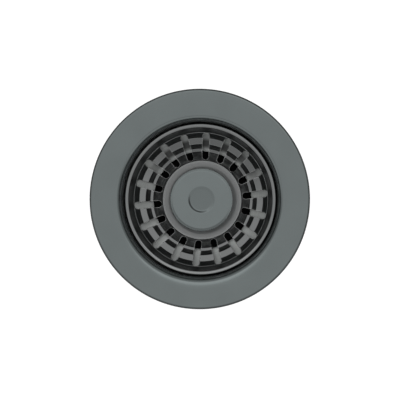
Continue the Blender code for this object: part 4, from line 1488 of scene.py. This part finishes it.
class SINKDRAIN_OT_cup_nut(PieceOperator, bpy.types.Operator):
    """Model the lugged nut that tightens the cup"""

    bl_idname = "sink_drain.cup_nut"
    bl_label = "Cup Nut"

    def model(self, sizes, look):
        node = "cup_nut"
        inner, _, bottom, top = extents(node)
        outer = radii("cup_washer")[1] - CUP_FLOOR_MARGIN
        corners = [
            (inner, bottom + CUP_NUT_CHAMFER), (inner, top - CUP_NUT_CHAMFER),
            (inner + CUP_NUT_CHAMFER, top), (outer, top, CUP_NUT_CHAMFER),
            (outer, bottom, CUP_NUT_CHAMFER), (inner + CUP_NUT_CHAMFER, bottom),
        ]
        nut = turn("cup_nut_piece", corners)
        low, high = bottom + CUP_NUT_CHAMFER, top - CUP_NUT_CHAMFER
        reach = outer + CUP_NUT_LUG_REACH
        lug = (outer - LUG_ROOT, reach, CUP_NUT_LUG_WIDTH, CUP_NUT_LUG_CORNER)
        add_lugs(nut, CUP_NUT_LUGS, *lug, low, high)
        hand_over(nut, node, shared(nickel_plate, look))


class SINKDRAIN_OT_outlet_nipple(PieceOperator, bpy.types.Operator):
    """Model the threaded outlet under the bowl"""

    bl_idname = "sink_drain.outlet_nipple"
    bl_label = "Outlet Nipple"

    def model(self, sizes, look):
        node = "outlet_nipple"
        bore, outer, bottom, top = extents(node)
        counterbore = radii("post_bridge")[1] + GAP
        ledge = heights("post_bridge")[0] - GAP
        corners = [
            (outer, top, NUT_FILLET),
            (outer, bottom + NIPPLE_CHAMFER),
            (outer - NIPPLE_CHAMFER, bottom),
            (bore, bottom, NUT_FILLET),
            (bore, ledge),
            (counterbore, ledge),
            (counterbore, top - NIPPLE_MOUTH_FILLET),
            (counterbore + NIPPLE_MOUTH_FILLET, top),
        ]
        nipple = turn("outlet_nipple_piece", corners)
        pitch = sizes.thread_pitch
        low, high = bottom - pitch, heights("cup_nut")[1]
        cut_thread(nipple, outer, NIPPLE_THREAD_DEPTH, pitch, low, high)
        hand_over(nipple, node, shared(nickel_plate, look))


class SINKDRAIN_OT_tailpiece(PieceOperator, bpy.types.Operator):
    """Model the tailpiece, its washer and its lugged coupling nut"""

    bl_idname = "sink_drain.tailpiece"
    bl_label = "Tailpiece and Coupling"

    def model(self, sizes, look):
        node = "tailpiece"
        bore, flange, bottom, top = extents(node)
        corners = [
            (flange, top), (bore, top, TAIL_HEEL_FILLET), (bore, bottom),
        ]
        tail = turn_sheet("tailpiece_piece", corners, TAIL_WALL)
        soften_edges(tail, TAIL_END_FILLET)
        hand_over(tail, node, shared(nickel_plate, look))
        self.model_washer(look)
        self.model_nut(look, flange)

    def model_washer(self, look):
        node = "tailpiece_washer"
        inner, outer, bottom, top = extents(node)
        bead = TAIL_WASHER_BEAD
        middle = radii(node, top - bead / 2, top)
        shelf = top - bead
        corners = [
            (inner, bottom, TAIL_WASHER_FILLET), (inner, shelf, TAIL_WASHER_FILLET / 2),
            (middle[0], top, TAIL_WASHER_FILLET), (middle[1], top, TAIL_WASHER_FILLET),
            (outer, shelf, TAIL_WASHER_FILLET / 2), (outer, bottom, TAIL_WASHER_FILLET),
        ]
        hand_over(turn("tailpiece_washer_piece", corners), node, shared(white_nylon, look))

    def model_nut(self, look, flange):
        node = "coupling_nut"
        hole, _, bottom, top = extents(node)
        bore = radii(node, top - COUPLING_CHAMFER, top)[0]
        lug_reach = radii(node)[1]
        outer = lug_reach - COUPLING_LUG_REACH
        ledge = bottom + COUPLING_LIP
        corners = [
            (outer, top, COUPLING_CHAMFER), (outer, ledge, COUPLING_CHAMFER),
            (flange, bottom, COUPLING_CHAMFER), (hole, bottom, NUT_FILLET), (hole, ledge),
            (bore, ledge), (bore, top - COUPLING_CHAMFER / 2), (bore + COUPLING_CHAMFER / 2, top),
        ]
        nut = turn("coupling_nut_piece", corners)
        low, high = ledge, top - COUPLING_CHAMFER
        lug = (outer - LUG_ROOT, lug_reach, COUPLING_LUG_WIDTH, COUPLING_LUG_CORNER)
        add_lugs(nut, COUPLING_LUGS, *lug, low, high)
        hand_over(nut, node, shared(nickel_plate, look))


class SINKDRAIN_OT_bridge(PieceOperator, bpy.types.Operator):
    """Model the three-armed bridge, its nylon sleeve and the sleeve's spring"""

    bl_idname = "sink_drain.bridge"
    bl_label = "Bridge, Sleeve and Spring"

    def model(self, sizes, look):
        self.model_bridge(look)
        self.model_sleeve(look)
        self.model_spring(look)

    def model_bridge(self, look):
        node = "post_bridge"
        hole, outer, bottom, top = extents(node)
        hub, rim = hole + BRIDGE_HUB_WIDTH, outer - BRIDGE_RIM_WIDTH
        rings = []
        for name, inner, reach in (("post_bridge_piece", rim, outer), ("bridge_hub", hole, hub)):
            rings.append(turn(name, ring_corners(inner, reach, bottom, top, BRIDGE_FILLET)))
        bridge, hub_ring = rings
        half = BRIDGE_ARM_WIDTH / 2
        low, high = bottom + BRIDGE_ARM_INSET, top - BRIDGE_ARM_INSET
        inner, reach = hub - BRIDGE_HUB_WIDTH / 2, rim + BRIDGE_RIM_WIDTH / 2
        arms = rounded_block("bridge_arms", (inner, -half, low), (reach, half, high), BRIDGE_FILLET)
        copy_round(arms, BRIDGE_ARMS)
        combine(bridge, arms, "UNION")
        combine(bridge, hub_ring, "UNION")
        hand_over(bridge, node, shared(bare_steel, look))

    def model_sleeve(self, look):
        node = "post_sleeve"
        bore, head, bottom, top = extents(node)
        wall = radii("post_bridge")[0] - GAP
        barb_top = heights("post_bridge")[0] - GAP
        spring_bottom, spring_top = heights("sleeve_spring")
        groove = (spring_bottom + spring_top) / 2
        floor = wall - SPRING_GROOVE_DEPTH
        corners = [
            (head, top, SLEEVE_HEAD_FILLET),
            (head, top - SLEEVE_HEAD_THICKNESS, SLEEVE_HEAD_FILLET / 2),
            (wall, top - SLEEVE_HEAD_THICKNESS),
            (wall, barb_top),
            (wall + SLEEVE_BARB, barb_top, SLEEVE_SLIT_CORNER),
            (wall, barb_top - SLEEVE_BARB_HEIGHT),
            (wall, groove + SPRING_GROOVE_HALF_WIDTH),
            (floor, groove + SPRING_GROOVE_HALF_WIDTH, SLEEVE_SLIT_CORNER),
            (floor, groove - SPRING_GROOVE_HALF_WIDTH, SLEEVE_SLIT_CORNER),
            (wall, groove - SPRING_GROOVE_HALF_WIDTH),
            (wall, bottom, SLEEVE_CHAMFER),
            (bore, bottom),
            (bore, top, SLEEVE_SLIT_CORNER),
        ]
        sleeve = turn("post_sleeve_piece", corners, SMALL_TURN_STEPS)
        half = SLEEVE_SLIT_WIDTH / 2
        reach = wall + SLEEVE_BARB + CUT_OVERRUN
        low, high = (bore / 2, -half, bottom - CUT_OVERRUN), (reach, half, barb_top)
        slits = rounded_block("sleeve_slits", low, high, SLEEVE_SLIT_CORNER)
        copy_round(slits, SLEEVE_SLITS)
        combine(sleeve, slits, "DIFFERENCE")
        hand_over(sleeve, node, shared(white_nylon, look))

    def model_spring(self, look):
        node = "sleeve_spring"
        inner, _, bottom, top = extents(node)
        wire = (top - bottom) / 2
        centre = (inner + wire, (bottom + top) / 2)
        corners = arc(centre, wire, 0, 360, SPRING_WIRE_STEPS)[:-1]
        spring = coil("sleeve_spring_piece", corners, SPRING_TURNS, 0)
        hand_over(spring, node, shared(bare_steel, look))


def lay_floor(look):
    """A wide pale floor that the drain stands on."""
    clear_selection()
    level = frame_box[0][2]
    bpy.ops.mesh.primitive_circle_add(
        vertices=STUDIO_FLOOR_SIDES, radius=STUDIO_FLOOR_RADIUS, fill_type="NGON",
        location=(0, 0, level),
    )
    floor = bpy.context.object
    floor.name = "studio_floor"
    bpy.ops.object.transform_apply(location=True, rotation=False, scale=False)
    material, shader = new_material("studio_floor", STUDIO_FLOOR_ROUGHNESS, 0.0)
    shader.inputs["Base Color"].default_value = (*look.floor, 1)
    path = add_node(material, "ShaderNodeLightPath")
    seen = math_node(material, "ADD", path.outputs["Is Camera Ray"], path.outputs["Is Glossy Ray"])
    seen = math_node(material, "ADD", seen, path.outputs["Is Transmission Ray"])
    glow = math_node(material, "MULTIPLY", math_node(material, "MINIMUM", seen, 1.0), FLOOR_GLOW)
    shader.inputs["Emission Color"].default_value = (1, 1, 1, 1)
    link(material, shader, Emission_Strength=glow)
    floor.data.materials.append(material)


def sky_band(world, height, levels):
    """The sky's brightness by height, from 0 at the horizon to 1 overhead."""
    ramp = add_node(world, "ShaderNodeValToRGB", {0: height})
    band = ramp.color_ramp
    stops = sorted(levels.items())
    for _ in stops[2:]:
        band.elements.new(0.5)
    for element, (position, level) in zip(band.elements, stops):
        element.position = position
        element.color = (level, level, level, 1)
    return ramp.outputs[0]


def light_sky():
    """A soft sky with brighter and dimmer zones by height, which differ on its near and far side."""
    world = bpy.data.worlds.new("studio_sky")
    world.use_nodes = True
    bpy.context.scene.world = world
    place = add_node(world, "ShaderNodeTexCoord").outputs["Generated"]
    height = add_node(world, "ShaderNodeSeparateXYZ", {0: place}).outputs[2]
    inputs = {0: place, 1: NEAR_SIDE}
    nearness = add_node(world, "ShaderNodeVectorMath", inputs, operation="DOT_PRODUCT").outputs["Value"]
    near_share = spread(world, nearness, 0.0, 1.0, *NEAR_LIMITS)
    far, close = sky_band(world, height, FAR_SKY), sky_band(world, height, NEAR_SKY)
    sky = mixed(world, near_share, far, close)
    world.node_tree.links.new(sky, world.node_tree.nodes["Background"].inputs["Color"])


def hang_softbox(look):
    """A wide soft lamp high over the far side of the drain."""
    clear_selection()
    away = Vector(LAMP_DIRECTION).normalized()
    bpy.ops.object.light_add(type="AREA", location=away * LAMP_DISTANCE)
    lamp = bpy.context.object
    lamp.name = "softbox"
    lamp.rotation_euler = away.to_track_quat("Z", "Y").to_euler()
    lamp.data.shape = "RECTANGLE"
    lamp.data.size, lamp.data.size_y = LAMP_LENGTH, LAMP_WIDTH
    lamp.data.energy = look.softbox * math.pi * LAMP_LENGTH * LAMP_WIDTH


def place_camera(look):
    """A long lens almost straight above the drain, with +Y up in the picture."""
    lean = Vector((math.tan(look.lean_right), -math.tan(look.lean_front), 1)).normalized()
    aim = Vector((look.aim_right, -look.aim_front, heights("strainer_body")[1]))
    camera = bpy.data.cameras.new("portrait_camera")
    camera.lens = look.lens
    distance = look.frame_width / camera.sensor_width * camera.lens
    right = Vector((0, 1, 0)).cross(lean).normalized()
    up = lean.cross(right)
    seat = bpy.data.objects.new("portrait_camera", camera)
    bpy.context.scene.collection.objects.link(seat)
    turned = Matrix((right, up, lean)).transposed().to_4x4()
    seat.matrix_world = Matrix.Translation(aim + lean * distance) @ turned
    camera.clip_end = 4 * distance
    bpy.context.scene.camera = seat


class SINKDRAIN_OT_studio(bpy.types.Operator):
    """Lay the floor, light the studio and place the camera"""

    bl_idname = "sink_drain.studio"
    bl_label = "Studio"

    def execute(self, context):
        look = context.scene.sink_drain_studio
        lay_floor(look)
        light_sky()
        hang_softbox(look)
        place_camera(look)
        context.scene.view_settings.view_transform = "Standard"
        return {"FINISHED"}


PIECES = (
    SINKDRAIN_OT_strainer_body,
    SINKDRAIN_OT_basket_cup,
    SINKDRAIN_OT_knob,
    SINKDRAIN_OT_stopper,
    SINKDRAIN_OT_post,
    SINKDRAIN_OT_gaskets,
    SINKDRAIN_OT_mounting_cup,
    SINKDRAIN_OT_cup_nut,
    SINKDRAIN_OT_outlet_nipple,
    SINKDRAIN_OT_tailpiece,
    SINKDRAIN_OT_bridge,
)


class SINKDRAIN_PT_panel(bpy.types.Panel):
    """Lists the drain's sizes, finishes and modelling steps"""

    bl_label = "Sink Drain"
    bl_idname = "SINKDRAIN_PT_panel"
    bl_space_type = "VIEW_3D"
    bl_region_type = "UI"
    bl_category = "Sink Drain"

    def draw(self, context):
        for group in GROUPS:
            box = self.layout.box()
            settings = getattr(context.scene, group)
            for name in settings.__annotations__:
                box.prop(settings, name)
        for step in (SINKDRAIN_OT_studio, *PIECES):
            self.layout.operator(step.bl_idname)


GROUPS = {
    "sink_drain_sizes": SinkDrainSizes,
    "sink_drain_finish": SinkDrainFinish,
    "sink_drain_studio": SinkDrainStudio,
}
CLASSES = (*GROUPS.values(), *PIECES, SINKDRAIN_OT_studio, SINKDRAIN_PT_panel)


def register():
    for item in CLASSES:
        bpy.utils.register_class(item)
    for name, group in GROUPS.items():
        setattr(bpy.types.Scene, name, bpy.props.PointerProperty(type=group))


def unregister():
    for name in GROUPS:
        delattr(bpy.types.Scene, name)
    for item in reversed(CLASSES):
        bpy.utils.unregister_class(item)


def run(step):
    """Call an operator by its idname, and stop if it didn't finish."""
    group, name = step.bl_idname.split(".")
    if getattr(getattr(bpy.ops, group), name)() != {"FINISHED"}:
        raise RuntimeError(f"{step.bl_label} didn't finish")


def main():
    register()
    for step in (SINKDRAIN_OT_studio, *PIECES):
        run(step)


if __name__ == "__main__":
    main()
